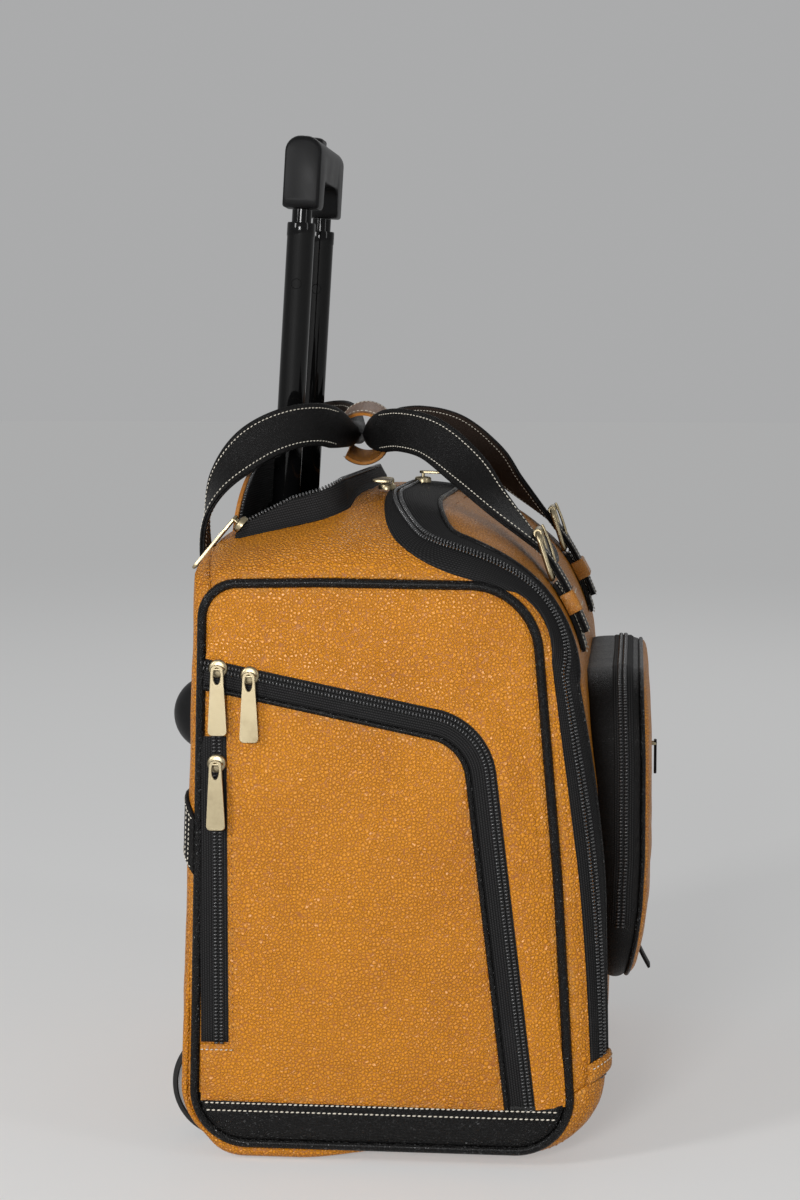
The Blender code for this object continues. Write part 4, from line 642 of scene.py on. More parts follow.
# distance to the sides that count: first row, last row, first column, last column
def rimDistance(grid, sides):
    far = np.full(grid.shape[:2], 1.0)
    for axis, (low, high) in ((0, sides[:2]), (1, sides[2:])):
        step = np.linalg.norm(np.diff(grid, axis=axis), axis=2)
        walked = np.concatenate([np.zeros_like(np.take(step, [0], axis)), np.cumsum(step, axis)], axis)
        total = np.take(walked, [-1], axis)
        far = np.minimum(far, walked) if low else far
        far = np.minimum(far, total - walked) if high else far
    return far


def sheetOf(grid, normal, thick, roll=0.0016, rollWidth=0.005, sides=(1, 1, 1, 1), uneven=0.0006):
    look, away = sheetLook, rimDistance(grid, sides)
    waves = wobble(grid, uneven, look["swell"]) + wobble(grid, uneven * 0.5, look["ripple"])
    rise = rolledEdge(away, roll, rollWidth) + waves.reshape(away.shape) * smoothStep(away / look["calm"])
    face, under = grid + normal * rise[..., None], grid - normal * thick
    rows, columns = away.shape
    count = rows * columns
    index = np.arange(count).reshape(rows, columns)
    border = np.concatenate([index[0, :-1], index[:-1, -1], index[-1, :0:-1], index[:0:-1, 0]])
    after = np.roll(border, -1)
    outside = gridFaces(rows, columns)
    faces = outside.tolist() + (outside[:, ::-1] + count).tolist()
    faces += np.stack([border, border + count, after + count, after], 1).tolist()
    rim = np.tile(1 - smoothStep(away / look["rim"]), (2, 1, 1)).ravel()
    return (np.concatenate([face.reshape(-1, 3), under.reshape(-1, 3)]), faces), rim


def distanceTo(outline, points):
    best = np.full(len(points), 1e9)
    for a, b in zip(outline, np.roll(outline, -1, 0)):
        along = b - a
        t = np.clip(((points - a) @ along) / max(along @ along, 1e-18), 0, 1)
        best = np.minimum(best, np.linalg.norm(points - a - t[:, None] * along, axis=1))
    return best


def insideOf(outline, points):
    odd = np.zeros(len(points), bool)
    for a, b in zip(outline, np.roll(outline, -1, 0)):
        crosses = (a[1] > points[:, 1]) != (b[1] > points[:, 1])
        at = (b[0] - a[0]) * (points[:, 1] - a[1]) / (b[1] - a[1] if b[1] != a[1] else 1e-18) + a[0]
        odd ^= crosses & (points[:, 0] < at)
    return odd


def flatSheet(outline, place, spacing=0.004, thick=0.002, roll=0.0014, rollWidth=0.004, pillow=0.0,
              uneven=0.0003):
    look, ringShares = sheetLook, (0.12, 0.35, 0.7, 1.1)
    outline = evenly(outline, min(spacing, 0.003), closed=True)
    inward = -outwardOf(unit(ringRun(outline)))
    if not insideOf(outline, outline[:1] + inward[:1] * 0.0005)[0]:
        inward = -inward
    rings = [outline + inward * rollWidth * share for share in ringShares]
    low, high = outline.min(0), outline.max(0)
    field = np.meshgrid(*(np.arange(low[k], high[k], spacing) for k in (0, 1)))
    extra = np.concatenate(rings + [np.stack(field, -1).reshape(-1, 2)])
    extra = extra[insideOf(outline, extra)]
    away = distanceTo(outline, extra)
    clear = away > rollWidth * ringShares[-1] + spacing * 0.5
    keep = (away > rollWidth * 0.1) & (clear | (np.arange(len(extra)) < len(rings) * len(outline)))
    points = np.concatenate([outline, extra[keep]])
    result = delaunay_2d_cdt([Vector(p) for p in points], [], [list(range(len(outline)))], 1, 1e-7)
    flat, faces = np.array([tuple(v) for v in result[0]]), [list(face) for face in result[2]]
    away = distanceTo(outline, flat)
    rise = rolledEdge(away, roll, rollWidth) + pillow * (1 - np.exp(-away / (rollWidth * 2.5)))
    waves = wobble(np.column_stack([flat, flat[:, :1] * 0]), uneven, look["flatSwell"])
    rise = rise + waves * smoothStep(away / look["flatCalm"])
    total = len(flat)
    edges = {(a, b): True for face in faces for a, b in zip(face, face[1:] + face[:1])}
    sideFaces = [[a, b, b + total, a + total] for a, b in edges if (b, a) not in edges]
    faces = faces + [[k + total for k in face[::-1]] for face in faces] + sideFaces
    verts = np.concatenate([place(flat, rise), place(flat, np.full(total, -thick))])
    return (verts, faces), np.tile(1 - smoothStep(away / look["rim"]), 2)


# Geometry Nodes: a row of small rounded shapes along lines, each turned to its line and to the line's facing
def buildRowTree():
    tree = bpy.data.node_groups.new("sewnRow", "GeometryNodeTree")
    floats = [(label, "Float") for label in ("Pitch", "Length", "Width", "Height", "Slant")]
    for label, kind in [("Geometry", "Geometry")] + floats + [("Material", "Material")]:
        tree.interface.new_socket(label, in_out="INPUT", socket_type="NodeSocket" + kind)
    tree.interface.new_socket("Geometry", in_out="OUTPUT", socket_type="NodeSocketGeometry")
    given = tree.nodes.new("NodeGroupInput").outputs
    end = tree.nodes.new("NodeGroupOutput")
    curve = put(tree, "GeometryNodeMeshToCurve", Mesh=given["Geometry"]).outputs[0]
    points = put(tree, "GeometryNodeCurveToPoints", dict(mode="LENGTH"), Curve=curve,
                 Length=given["Pitch"]).outputs
    facing = put(tree, "GeometryNodeInputNamedAttribute", dict(data_type="FLOAT_VECTOR"),
                 Name="facing").outputs[0]
    along = put(tree, "FunctionNodeAlignRotationToVector", dict(axis="X"),
                Vector=points["Tangent"]).outputs[0]
    turned = put(tree, "FunctionNodeAlignRotationToVector", dict(axis="Z", pivot_axis="X"), Rotation=along,
                 Vector=facing).outputs[0]
    slant = put(tree, "ShaderNodeCombineXYZ", Z=given["Slant"]).outputs[0]
    spin = put(tree, "FunctionNodeRotateRotation", dict(rotation_space="LOCAL"), i0=turned,
               i1=slant).outputs[0]
    bead = put(tree, "GeometryNodeMeshUVSphere", Segments=8, Rings=5, Radius=0.5).outputs[0]
    smooth = put(tree, "GeometryNodeSetShadeSmooth", Geometry=bead).outputs[0]
    size = put(tree, "ShaderNodeCombineXYZ", X=given["Length"], Y=given["Width"],
               Z=given["Height"]).outputs[0]
    row = put(tree, "GeometryNodeInstanceOnPoints", Points=points[0], Instance=smooth, Rotation=spin,
              Scale=size)
    real = put(tree, "GeometryNodeRealizeInstances", Geometry=row.outputs[0]).outputs[0]
    done = put(tree, "GeometryNodeSetMaterial", Geometry=real, Material=given["Material"]).outputs[0]
    tree.links.new(done, end.inputs[0])
    return tree


rowTree = buildRowTree()
rowSocket = {item.name: item.identifier for item in rowTree.interface.items_tree if item.in_out == "INPUT"}
handStitch = dict(Pitch=0.0031, Length=0.0022, Width=0.0008, Height=0.0008, Slant=0.10)
bandStitch = dict(Pitch=0.0036, Length=0.0027, Width=0.0011, Height=0.0010, Slant=0.10)
machineStitch = dict(Pitch=0.0034, Length=0.0026, Width=0.0007, Height=0.0006, Slant=0.0)
holeStitch = dict(Pitch=0.0052, Length=0.0016, Width=0.0006, Height=0.0005, Slant=0.0)
coilTooth = dict(Pitch=0.0024, Length=0.0017, Width=0.0033, Height=0.0026, Slant=0.14)


def sewRow(name, bodyName, lines, spec, material):  # lines: (points, facing) pairs
    verts, facing, edges = [], [], []
    for path, out in lines:
        first = len(verts)
        path = np.asarray(path, float)
        verts += path.tolist()
        facing += np.broadcast_to(np.asarray(out, float), path.shape).tolist()
        edges += [(first + k, first + k + 1) for k in range(len(path) - 1)]
    data = bpy.data.meshes.new(name)
    data.from_pydata((np.array(verts) + shift).tolist(), edges, [])
    held = data.attributes.new("facing", "FLOAT_VECTOR", "POINT")
    held.data.foreach_set("vector", np.array(facing, np.float32).ravel())
    made = bpy.data.objects.new(name, data)
    scene.collection.objects.link(made)
    modifier = made.modifiers.new("row", "NODES")
    modifier.node_group = rowTree
    for label, value in spec.items():
        modifier[rowSocket[label]] = value
    modifier[rowSocket["Material"]] = material
    plain = bake(made)
    plain.materials.clear()
    plain.materials.append(material)
    plain.polygons.foreach_set("material_index", np.zeros(len(plain.polygons), np.int32))
    return settle(made, bodyName)


# Shell: back, bottom, top, front gussets and lid, each a rolled-edge sheet on the case's skin
shell = dict(spacing=0.0055, thick=0.0026, lift=0.0003, edgeSteps=(0.0, 0.0007, 0.0018, 0.0034, 0.0056),
             lidGap=0.0008)
wheel = dict(radius=0.039, half=0.011, rim=0.0345, y=0.165, housing=0.0442, housingHalf=0.0162, gap=0.0006)


def withFineEnds(total, spacing, low=True, high=True):
    fine = np.array(shell["edgeSteps"])
    start, end = (fine if low else fine[:1]), (total - fine[::-1] if high else np.array([total]))
    count = max(int((end[0] - start[-1]) / spacing), 1)
    return np.concatenate([start, np.linspace(start[-1], end[0], count + 2)[1:-1], end])


def placesAlong(u0, u1, low=True, high=True, spacing=shell["spacing"]):
    fine = np.linspace(u0, u1, 600)
    walked = lengthsOf(skin(fine, np.full(len(fine), pi / 2)))
    return np.interp(withFineEnds(walked[-1], spacing, low, high), walked, fine)


def skinGrid(places, startAt, endAt=None, side=-1, lift=shell["lift"]):
    starts = np.array([startAt(u) for u in places])
    ends = np.array([endAt(u) if endAt else middleReach(u) for u in places])
    length = float(np.median(ends - starts))
    shares = withFineEnds(length, shell["spacing"], True, endAt is not None) / length
    rows = [skinRow(u, start + shares * (end - start), side) for u, start, end in zip(places, starts, ends)]
    points, normals = (np.array([row[k] for row in rows]) for k in (0, 1))
    if endAt is None:  # both halves, mirrored at the middle
        points, normals = (np.concatenate([half, half[:, -2::-1] * flip], 1) for half in (points, normals))
    return points + normals * lift, normals


def skinSheet(name, places, startAt, node, bodyName="case", material=amber, endAt=None, side=-1, **more):
    grid, normal = skinGrid(places, startAt, endAt, side)
    sheet = sheetOf(grid, normal, shell["thick"], **more)
    return sheetPiece(name, sheet, [material, liningCloth], bodyName, node), grid, normal


def prismOf(outline, along):
    outline = np.asarray(outline, float)
    return loftOf([outline, outline + np.asarray(along)])


def cutWith(made, *cutters):  # the shape less the cutters
    for mesh in cutters:
        tool = objectOf("cutter", mesh, [made.data.materials[0]])
        modifier = made.modifiers.new("cut", "BOOLEAN")
        modifier.operation, modifier.object, modifier.solver = "DIFFERENCE", tool, "EXACT"
        bake(made)
        bpy.data.objects.remove(tool)


def wheelWell(way, count=56):
    reach = wheel["housingHalf"] + wheel["gap"]
    x, z = (circleOf(wheel["housing"] + wheel["gap"], count) + (body["wheelX"], wheel["radius"])).T
    return prismOf(np.column_stack([x, np.full(count, way * wheel["y"] - reach), z]), (0, 2 * reach, 0))


wheelWells = [wheelWell(way) for word, way in bothSides]
backSheet, backGrid, backNormal = skinSheet("backLeather", placesAlong(seamBack, backFoot), edgeReach,
                                            "back_panel")
bottomSheet, bottomGrid, bottomNormal = skinSheet("bottomLeather", placesAlong(backFoot, lidFoot), edgeReach,
                                                  "bottom_panel")
for sheet in (backSheet, bottomSheet):
    cutWith(sheet, *wheelWells)
frontPlaces = placesAlong(lidFoot, ridge, high=False)
for word, way in bothSides:
    skinSheet(word + "GussetLeather", frontPlaces, edgeReach, word + "_front_gusset", endAt=zipReach,
              side=way, sides=(1, 0, 1, 0))
# The lid is covered with the darker copy of the amber leather, a painted shade
lidGrid = skinSheet("lidLeather", frontPlaces, lambda u: zipReach(u) + shell["lidGap"], "lid_panel", "lid",
                    amberShaded, sides=(1, 0, 0, 0))[1]

# Top: the same sheet with the trolley slot cut through it
slot = dict(front=-0.046, rear=-0.122, half=0.160, corner=0.020, flapHeight=0.042, flapHalf=0.148,
            flapTop=0.062, flapLean=radians(7), flapThick=0.003, cutFrom=0.36, cutHeight=0.16)


def slotLine(grow, steps=9):  # open outline: rear near corner, round the front, rear far corner
    half, front, corner = slot["half"] + grow, slot["front"] + grow, slot["corner"] + grow
    turn = np.linspace(0, pi / 2, steps)
    near = np.stack([front - corner + corner * np.sin(turn), -half + corner - corner * np.cos(turn)], 1)
    return np.concatenate([[(slot["rear"], -half)], near, near[::-1] * (1, -1), [(slot["rear"], half)]])


topSheet, topGrid, topNormal = skinSheet("topLeather", placesAlong(ridge, 6 + seamBack, low=False), edgeReach,
                                         "top_panel", sides=(0, 1, 1, 1))
slotOutline = slotLine(0.0)
cutWith(topSheet, prismOf(np.column_stack([slotOutline, np.full(len(slotOutline), slot["cutFrom"])]),
                          (0, 0, slot["cutHeight"])))


def topHeight(x, y):  # height of the top's outside over a place, from the plane through its nearest points
    points = topGrid.reshape(-1, 3)
    near = points[np.argsort((points[:, 0] - x) ** 2 + (points[:, 1] - y) ** 2)[:8]]
    plane = np.linalg.lstsq(np.column_stack([near[:, :2], np.ones(8)]), near[:, 2], rcond=None)[0]
    return float(plane @ (x, y, 1.0))


# Side panels with their pebbled piping cords, and the swelling of the bottom leather at the rear foot
panel = dict(inset=0.0012, base=0.0008, cordRadius=0.0033, cordCount=14, spacing=0.0028,
             sheet=dict(spacing=0.0045, thick=0.0035, roll=0.0022, rollWidth=0.0065, pillow=0.0016,
                        uneven=0.0005))
swell = dict(at=0.0085, top=0.150, spacing=0.0028, fade=26.0, atBack=0.35, turnFrom=0.70,
             wide=(0.0008, 0.0060), high=(0.0006, 0.0042), out=(-0.0004, 0.0034), count=14)


def awayFromMiddle(out, points):  # the same directions, turned to point out of the outline
    return out * np.sign((out * (points - points.mean(0))).sum(1).mean())


sideLoop = evenly(follow(sideTable, np.linspace(0, 6, 1200, endpoint=False)), panel["spacing"], closed=True)
sideOut = awayFromMiddle(outwardOf(unit(ringRun(sideLoop))), sideLoop)


def onSide(way, base=0.0):
    return lambda flat, rise: np.stack([flat[:, 0], way * (body["half"] + base + rise), flat[:, 1]], 1)


fineU = np.linspace(0, 6, 1200)
lineX, lineZ = follow(sideTable, fineU).T
lowU = fineU[(lineZ < swell["top"]) & (lineX < 0)]
swellPlaces = placesAlong(lowU[0], lowU[-1], False, False, swell["spacing"])
order = np.arange(len(swellPlaces))
swellEnds = smoothStep(np.minimum(order, order[::-1]) / swell["fade"])
for word, way in bothSides:
    sheet = flatSheet(sideLoop - sideOut * panel["inset"], onSide(way, panel["base"]), **panel["sheet"])
    sheetPiece(word + "SideLeather", sheet, [amber, liningCloth], "case", word + "_side_panel")
    ring = onSide(way)(sideLoop, np.zeros(len(sideLoop)))
    cord = circleOf(panel["cordRadius"], panel["cordCount"])
    piece(word + "Piping", cordOf(ring, (0, way, 0), cord, closed=True), blackPebble, "case")
    rows = [skinRow(u, np.array([swell["at"]]), way) for u in swellPlaces]
    points, outs = (np.array([row[k][0] for row in rows]) for k in (0, 1))
    under = smoothStep((-outs[:, 2] - swell["turnFrom"]) / (1 - swell["turnFrom"]))
    full = swellEnds * (swell["atBack"] + (1 - swell["atBack"]) * under)
    wide, high, rise = (low + more * full for low, more in (swell["wide"], swell["high"], swell["out"]))
    section = circleOf(1.0, swell["count"]) * np.stack([wide, high], 1)[:, None]
    piece(word + "FootRoll", cordOf(points + outs * rise[:, None], outs, section), amber, "case")
print("shell done")


# Zips: woven tapes on the surface with two rows of coil teeth
zips = dict(lift=0.0016, thick=0.0016, gap=0.0003, columns=9, toothAway=0.0019, toothLift=0.0020,
            piping=0.0018, pipingLift=0.0010, caseHoles=0.0035, lidHoles=0.0055, rolled=0.8, rollWidth=0.0012,
            uneven=0.00012,
            caseHalf=((2.5, 0.0100), (4.0, 0.0110), (4.25, 0.0160), (4.40, 0.0300), (4.5, 0.0320)),
            lidHalf=((2.5, 0.0130), (4.0, 0.0130), (4.25, 0.0140), (4.42, 0.0170), (4.5, 0.0165)))


# rows: points across the tape at each step along it
def tapePiece(name, rows, outs, along, thick, bodyName, node):
    sheet = sheetOf(rows, outs, thick, thick * zips["rolled"], zips["rollWidth"], uneven=zips["uneven"])
    steps = np.linalg.norm(np.diff(rows, axis=1), axis=2)
    across = np.concatenate([np.zeros((len(rows), 1)), np.cumsum(steps, 1)], 1)
    # sizes along and across the tape in metres, for its weave
    sizes = np.stack([np.broadcast_to(along[:, None], across.shape), across], -1).reshape(-1, 2)
    sheetPiece(name, sheet, tape, bodyName, node, sizes=np.concatenate([sizes, sizes]))


# The main zip's line in the unrolled skin: p runs round the case, q in from the side edge
zipRoute = dict(first=2.4, last=4.9, count=500, reach=0.03, riseSteps=260, topSteps=80, rough=0.004, rounds=24,
                spacing=0.003, onTop=0.05)
unrolledU = np.linspace(zipRoute["first"], zipRoute["last"], zipRoute["count"])
unrolledP = lengthsOf([skinRow(u, np.array([zipRoute["reach"]]))[0][0] for u in unrolledU])


def unrolledZip():
    rise, steps = np.linspace(lidFoot, ridge, zipRoute["riseSteps"]), zipRoute["topSteps"]
    line = np.stack([np.interp(rise, unrolledU, unrolledP), zipReach(rise)], 1)
    across = np.linspace(zipReach(ridge), middleReach(ridge), steps + 1)[1:]
    top = np.stack([np.full(steps, line[-1, 0]), across], 1)
    line = evenly(np.concatenate([line, top]), zipRoute["rough"])
    for _ in range(zipRoute["rounds"]):  # round the turn on to the ridge
        line[1:-1] = (line[:-2] + 2 * line[1:-1] + line[2:]) / 4
    return evenly(line, zipRoute["spacing"])


zipFlat = unrolledZip()
zipRun = unit(np.gradient(zipFlat, axis=0))
zipRun[-1] = (0.0, 1.0)
zipSide = -outwardOf(zipRun)  # towards the lid
zipPlace = np.where(zipFlat[:, 1] > zipRoute["onTop"], ridge, np.interp(zipFlat[:, 0], unrolledP, unrolledU))
caseHalf, lidHalf = (np.interp(zipPlace, *np.array(zips[key]).T) for key in ("caseHalf", "lidHalf"))


def onSkin(flat, lift=0.0):  # places in the unrolled skin, on the case
    rows = [skinRow(np.interp(p, unrolledP, unrolledU), np.array([q])) for p, q in flat]
    points, outs = (np.array([row[k][0] for row in rows]) for k in (0, 1))
    return points + outs * lift, outs


def besideZip(away, lift):  # a line beside the zip's: near half, then its mirror run back from the middle
    return [np.concatenate([half, half[-2::-1] * flip])
            for half in onSkin(zipFlat + zipSide * np.reshape(away, (-1, 1)), lift)]


for word, way, half, node, bodyName in (("Case", -1, caseHalf, "main_zip_case", "case"),
                                        ("Lid", 1, lidHalf, "main_zip_lid", "lid")):
    lines = [besideZip(way * (zips["gap"] + (half - zips["gap"]) * share), zips["lift"])
             for share in np.linspace(0, 1, zips["columns"])]
    rows, outs = (np.stack([line[k] for line in lines], 1) for k in (0, 1))
    tapePiece("mainTape" + word, rows, outs, lengthsOf(rows[:, 0]), zips["thick"], bodyName, node)
    sewRow("mainTeeth" + word, bodyName, [besideZip(way * zips["toothAway"], zips["toothLift"])], coilTooth,
           teethNylon)
path, facing = besideZip(lidHalf, zips["pipingLift"])
piece("lidPiping", cordOf(path, facing, circleOf(zips["piping"], 10)), blackPebble, "lid")
sewRow("caseEdgeStitches", "case", [besideZip(-caseHalf - zips["caseHoles"], shell["lift"])], holeStitch,
       threadAmber)
sewRow("lidEdgeStitches", "lid", [besideZip(lidHalf + zips["lidHoles"], shell["lift"])], holeStitch,
       threadAmber)

# Leather tab sewn over each foot of the main zip
tab = dict(start=0.0012, length=0.0125, inner=0.0150, outer=0.0135, lift=0.0050, thick=0.0034, stitch=0.0030,
           stitchUp=0.0002, roll=0.0022, rollWidth=0.0034, uneven=0.0002)
for word, way in bothSides:
    mirror = (1, -way, 1)
    up = withFineEnds(tab["length"], 0.003) + zipFlat[0, 0] + tab["start"]
    across = withFineEnds(tab["inner"] + tab["outer"], 0.004) + zipFlat[0, 1] - tab["outer"]
    lines = [onSkin(np.stack([np.full(len(across), p), across], 1), tab["lift"]) for p in up]
    grid, normal = (np.array([line[k] for line in lines]) * mirror for k in (0, 1))
    sheet = sheetOf(grid, normal, tab["thick"], tab["roll"], tab["rollWidth"], uneven=tab["uneven"])
    sheetPiece(word + "ZipTab", sheet, amber, "lid")
    row = np.stack([np.full(30, up[-1] - tab["stitch"]), np.linspace(across[3], across[-4], 30)], 1)
    points, outs = onSkin(row, tab["lift"] + tab["stitchUp"])
    sewRow(word + "TabStitches", "lid", [(points * mirror, outs * mirror)], handStitch, thread)
print("main zip done")

# Side pocket: L-shaped zip, pocket panel with its own piping, and the short upright zip
pocket = dict(line=((-0.1330, 0.3423, 0.0), (0.0555, 0.3035, 0.045), (0.0866, 0.0420, 0.0)), outer=0.0085,
              inner=0.0170, panelEdge=0.0150, slotX=-0.1250, slotTop=0.2940, slotFoot=0.0830,
              slotHalf=0.0078, slotInner=0.0030, slotOuter=0.0048, piping=0.0021, tooth=0.0018,
              sillGap=0.0008, holes=0.0032, sillHoles=0.0036, lap=0.0012, rearLap=0.0052, clear=0.002,
              headUp=0.0004, pipingIn=0.0004, pipingStart=0.016, seamTop=0.006, footRear=0.0016,
              footFront=0.0020,
              rises=dict(lTape=0.0010, slotTape=0.0008, teeth=0.0014, piping=0.0014, fold=0.0006,
                         holes=0.0032),
              sheet=dict(spacing=0.0045, thick=0.0024, roll=0.0016, rollWidth=0.0045, pillow=0.0010,
                         uneven=0.0005))
pocketFold = ((-0.0042, -0.0004), (-0.0036, 0.0014), (-0.0016, 0.0020), (0.0040, 0.0014), (0.0110, 0.0004),
              (0.0180, -0.0012))
sideFace = panel["base"] + panel["sheet"]["pillow"]  # how far the near panel's face stands out
toNear = (0.0, -1.0, 0.0)


def onPanel(flat, kind):
    return onSide(-1)(flat, np.full(len(flat), sideFace + pocket["rises"][kind]))


def flatTape(name, line, away, low, high, node):
    rows = np.stack([onPanel(line + away * share, name)
                     for share in np.linspace(low, high, zips["columns"])], 1)
    tapePiece(name, rows, np.broadcast_to(toNear, rows.shape), lengthsOf(line), zips["thick"], "case", node)


lStart, (bendX, bendZ, bendRadius), lEnd = pocket["line"]
lBend = cornerArc(lStart[:2], (bendX, bendZ), lEnd[:2], bendRadius, 14)
lLine = evenly(np.concatenate([[lStart[:2]], lBend, [lEnd[:2]]]), 0.004)
lOut = -outwardOf(unit(np.gradient(lLine, axis=0)))  # up and forward, away from the pocket
flatTape("lTape", lLine, lOut, -pocket["inner"], pocket["outer"], "side_pocket_zip")
upright = np.stack([np.full(40, pocket["slotX"]), np.linspace(pocket["slotTop"], pocket["slotFoot"], 40)], 1)
toRear = np.tile((-1.0, 0.0), (40, 1))
flatTape("slotTape", upright, toRear, -pocket["slotHalf"] - pocket["slotInner"],
         pocket["slotHalf"] + pocket["slotOuter"], "side_slot_zip")
sewRow("sideTeeth", "case", [(onPanel(line + away * pocket["tooth"] * way, "teeth"), toNear)
                             for line, away in ((lLine, lOut), (upright, toRear)) for way in (-1, 1)],
       coilTooth, teethNylon)
left, low = pocket["slotX"] + pocket["slotHalf"] - pocket["lap"], lEnd[1]
rear = pocket["slotX"] - pocket["slotHalf"] - pocket["rearLap"]
sill = pocket["slotFoot"] - pocket["sillGap"]
inner = lLine - lOut * pocket["panelEdge"]
inner = inner[inner[:, 0] > left + pocket["clear"]]
headZ = inner[0, 1] + pocket["headUp"]
outline = np.concatenate([[(rear, low), (rear, sill), (left, sill), (left, headZ)], inner])
sheet = flatSheet(outline, onSide(-1, sideFace + pocket["sheet"]["thick"]), **pocket["sheet"])
sheetPiece("pocketLeather", sheet, amber, "case", "side_pocket_panel")
edge = evenly(lLine - lOut * (pocket["panelEdge"] - pocket["pipingIn"]), 0.003)
edge = onPanel(edge[edge[:, 0] > left - pocket["pipingStart"]], "piping")
piece("pocketPiping", cordOf(edge, toNear, circleOf(pocket["piping"], 10)), blackPebble, "case")
# Yoke above and in front of the L-zip: the edge of the side panel folded over the tape
lip = onPanel(evenly(lLine + lOut * pocket["outer"], 0.004), "fold")
outerSide = np.sign(frames(lip, toNear)[0][5] @ (lOut[5][0], 0, lOut[5][1]))
piece("yokeFold", cordOf(lip, toNear, np.array(pocketFold) * (outerSide, 1.0)), amber, "case")
seamZ = sill - pocket["sillHoles"]
seam = np.stack([np.full(60, left + pocket["holes"]), np.linspace(headZ - pocket["seamTop"], seamZ, 60)], 1)
footX = np.linspace(rear + pocket["footRear"], left + pocket["footFront"], 20)
foot = np.stack([footX, np.full(20, seamZ)], 1)
sewRow("pocketHoles", "case", [(onPanel(seam, "holes"), toNear)], holeStitch, threadAmber)
sewRow("slotFootStitches", "case", [(onPanel(foot, "holes"), toNear)], handStitch, thread)
print("side pocket done")


# Black band across the foot of each side, with two rows of white stitches
band = dict(top=0.0478, rows=(0.0062, 0.0114), inset=0.0030, base=0.0034, ends=0.006, reach=0.004, count=90,
            sunk=0.86,
            sheet=dict(spacing=0.004, thick=0.0034, roll=0.0022, rollWidth=0.0050, pillow=0.0026,
                       uneven=0.0004))
bandLine = sideLoop - sideOut * band["inset"]
bandLine = bandLine[bandLine[:, 1] < band["top"]]
bandFace = band["base"] + band["sheet"]["pillow"] * band["sunk"]
for word, way in bothSides:
    sheet = flatSheet(bandLine, onSide(way, band["base"]), **band["sheet"])
    sheetPiece(word + "BottomBand", sheet, blackPebble, "case")
    lines = []
    for down in band["rows"]:
        z = band["top"] - down
        beside = bandLine[np.abs(bandLine[:, 1] - z) < band["reach"]][:, 0]
        x = np.linspace(beside.min() + band["ends"], beside.max() - band["ends"], band["count"])
        lines.append((onSide(way, bandFace)(np.column_stack([x, np.full(len(x), z)]), np.zeros(len(x))),
                      (0, way, 0)))
    sewRow(word + "BandStitches", "case", lines, bandStitch, thread)

# Trolley slot: standing tape rim with teeth, leather flap behind with the other half of the zip
slotRim = dict(inset=0.0004, spacing=0.004, thick=0.0014, ends=(0.0, 0.010, 0.040, 0.075, 1.0),
               rises=(0.006, 0.0105, 0.0185, 0.0205, 0.0205), corner=0.012, level=0.004, least=0.006,
               holes=0.0085, sink=0.55, sinkFrom=0.04, sinkOver=0.10, toothUp=0.0004, toothIn=0.0006)
rimBend = ((0.0046, 0.0004, 0.0), (0.0026, 0.0012, 0.0), (0.0012, 0.0030, 0.0), (0.0005, 0.0, 0.35),
           (0.0002, 0.0, 0.65), (-0.0004, 0.0, 0.93), (-0.0012, 0.0, 1.0))  # out, up and share of the rise
rimPath = evenly(slotLine(-slotRim["inset"]), slotRim["spacing"])
rimHeight = np.array([topHeight(x, y) for x, y in rimPath])
rimOut = awayFromMiddle(outwardOf(unit(np.gradient(rimPath, axis=0))), rimPath)
rimWalk = lengthsOf(rimPath)
rimFoot = np.column_stack([rimPath, rimHeight])
outward, upward = np.column_stack([rimOut, np.zeros(len(rimOut))]), np.array((0, 0, 1.0))
rise = np.interp(np.minimum(rimWalk, rimWalk[-1] - rimWalk), slotRim["ends"], slotRim["rises"])
cornerTop = (rimHeight + rise)[np.argmax(rimPath[:, 0] > slot["front"] - slotRim["corner"])]
rise = rise * (1 - slotRim["sink"] * smoothStep((rimPath[:, 1] - slotRim["sinkFrom"]) / slotRim["sinkOver"]))
# the front edge stays level
rise = np.minimum(rise, np.maximum(cornerTop + slotRim["level"] - rimHeight, slotRim["least"]))
rows = np.stack([rimFoot + outward * out + upward * (up + rise * share)[:, None]
                 for out, up, share in rimBend], 1)
outs = unit(np.cross(np.gradient(rows, axis=1), np.gradient(rows, axis=0)))
outs *= np.sign((outs * outward[:, None]).sum(-1).mean())
tapePiece("slotRimTape", rows, outs, rimWalk, slotRim["thick"], "case", "slot_zip_front")
rimTeeth = rows[:, -1] + upward * slotRim["toothUp"] - outward * slotRim["toothIn"]

flap = dict(foot=(-0.0004, 0.0008), leatherBase=-0.0002, tapeBase=0.0022, toothBase=0.0011, tapeIn=0.001,
            tapeUp=0.0020,
            leather=dict(spacing=0.006, thick=slot["flapThick"], roll=0.0006, rollWidth=0.002),
            tape=dict(spacing=0.006, thick=0.0016, roll=0.0008, rollWidth=0.0015))
flapFoot = np.array((slot["rear"] + flap["foot"][0], 0.0, topHeight(slot["rear"], 0.0) + flap["foot"][1]))
flapRise = np.array((sin(slot["flapLean"]), 0.0, cos(slot["flapLean"])))
flapAhead = np.array((cos(slot["flapLean"]), 0.0, -sin(slot["flapLean"])))
flapDrop = topHeight(slot["rear"], 0.0) - topHeight(slot["rear"], slot["flapHalf"])


def flapOutline(half, high):
    turn = np.linspace(0, pi / 2, 13)
    up = np.stack([slot["flapTop"] + (half - slot["flapTop"]) * np.cos(turn), high * np.sin(turn)], 1)
    return withMirror(np.concatenate([[(half * 0.6, 0.0), (half, -flapDrop * 0.9)], up[1:]]))


def onFlap(base):
    return lambda flat, rise: (flapFoot + flapRise * flat[:, 1:] + flapAhead * (base + rise)[:, None]
                               + flat[:, :1] * (0, 1, 0))


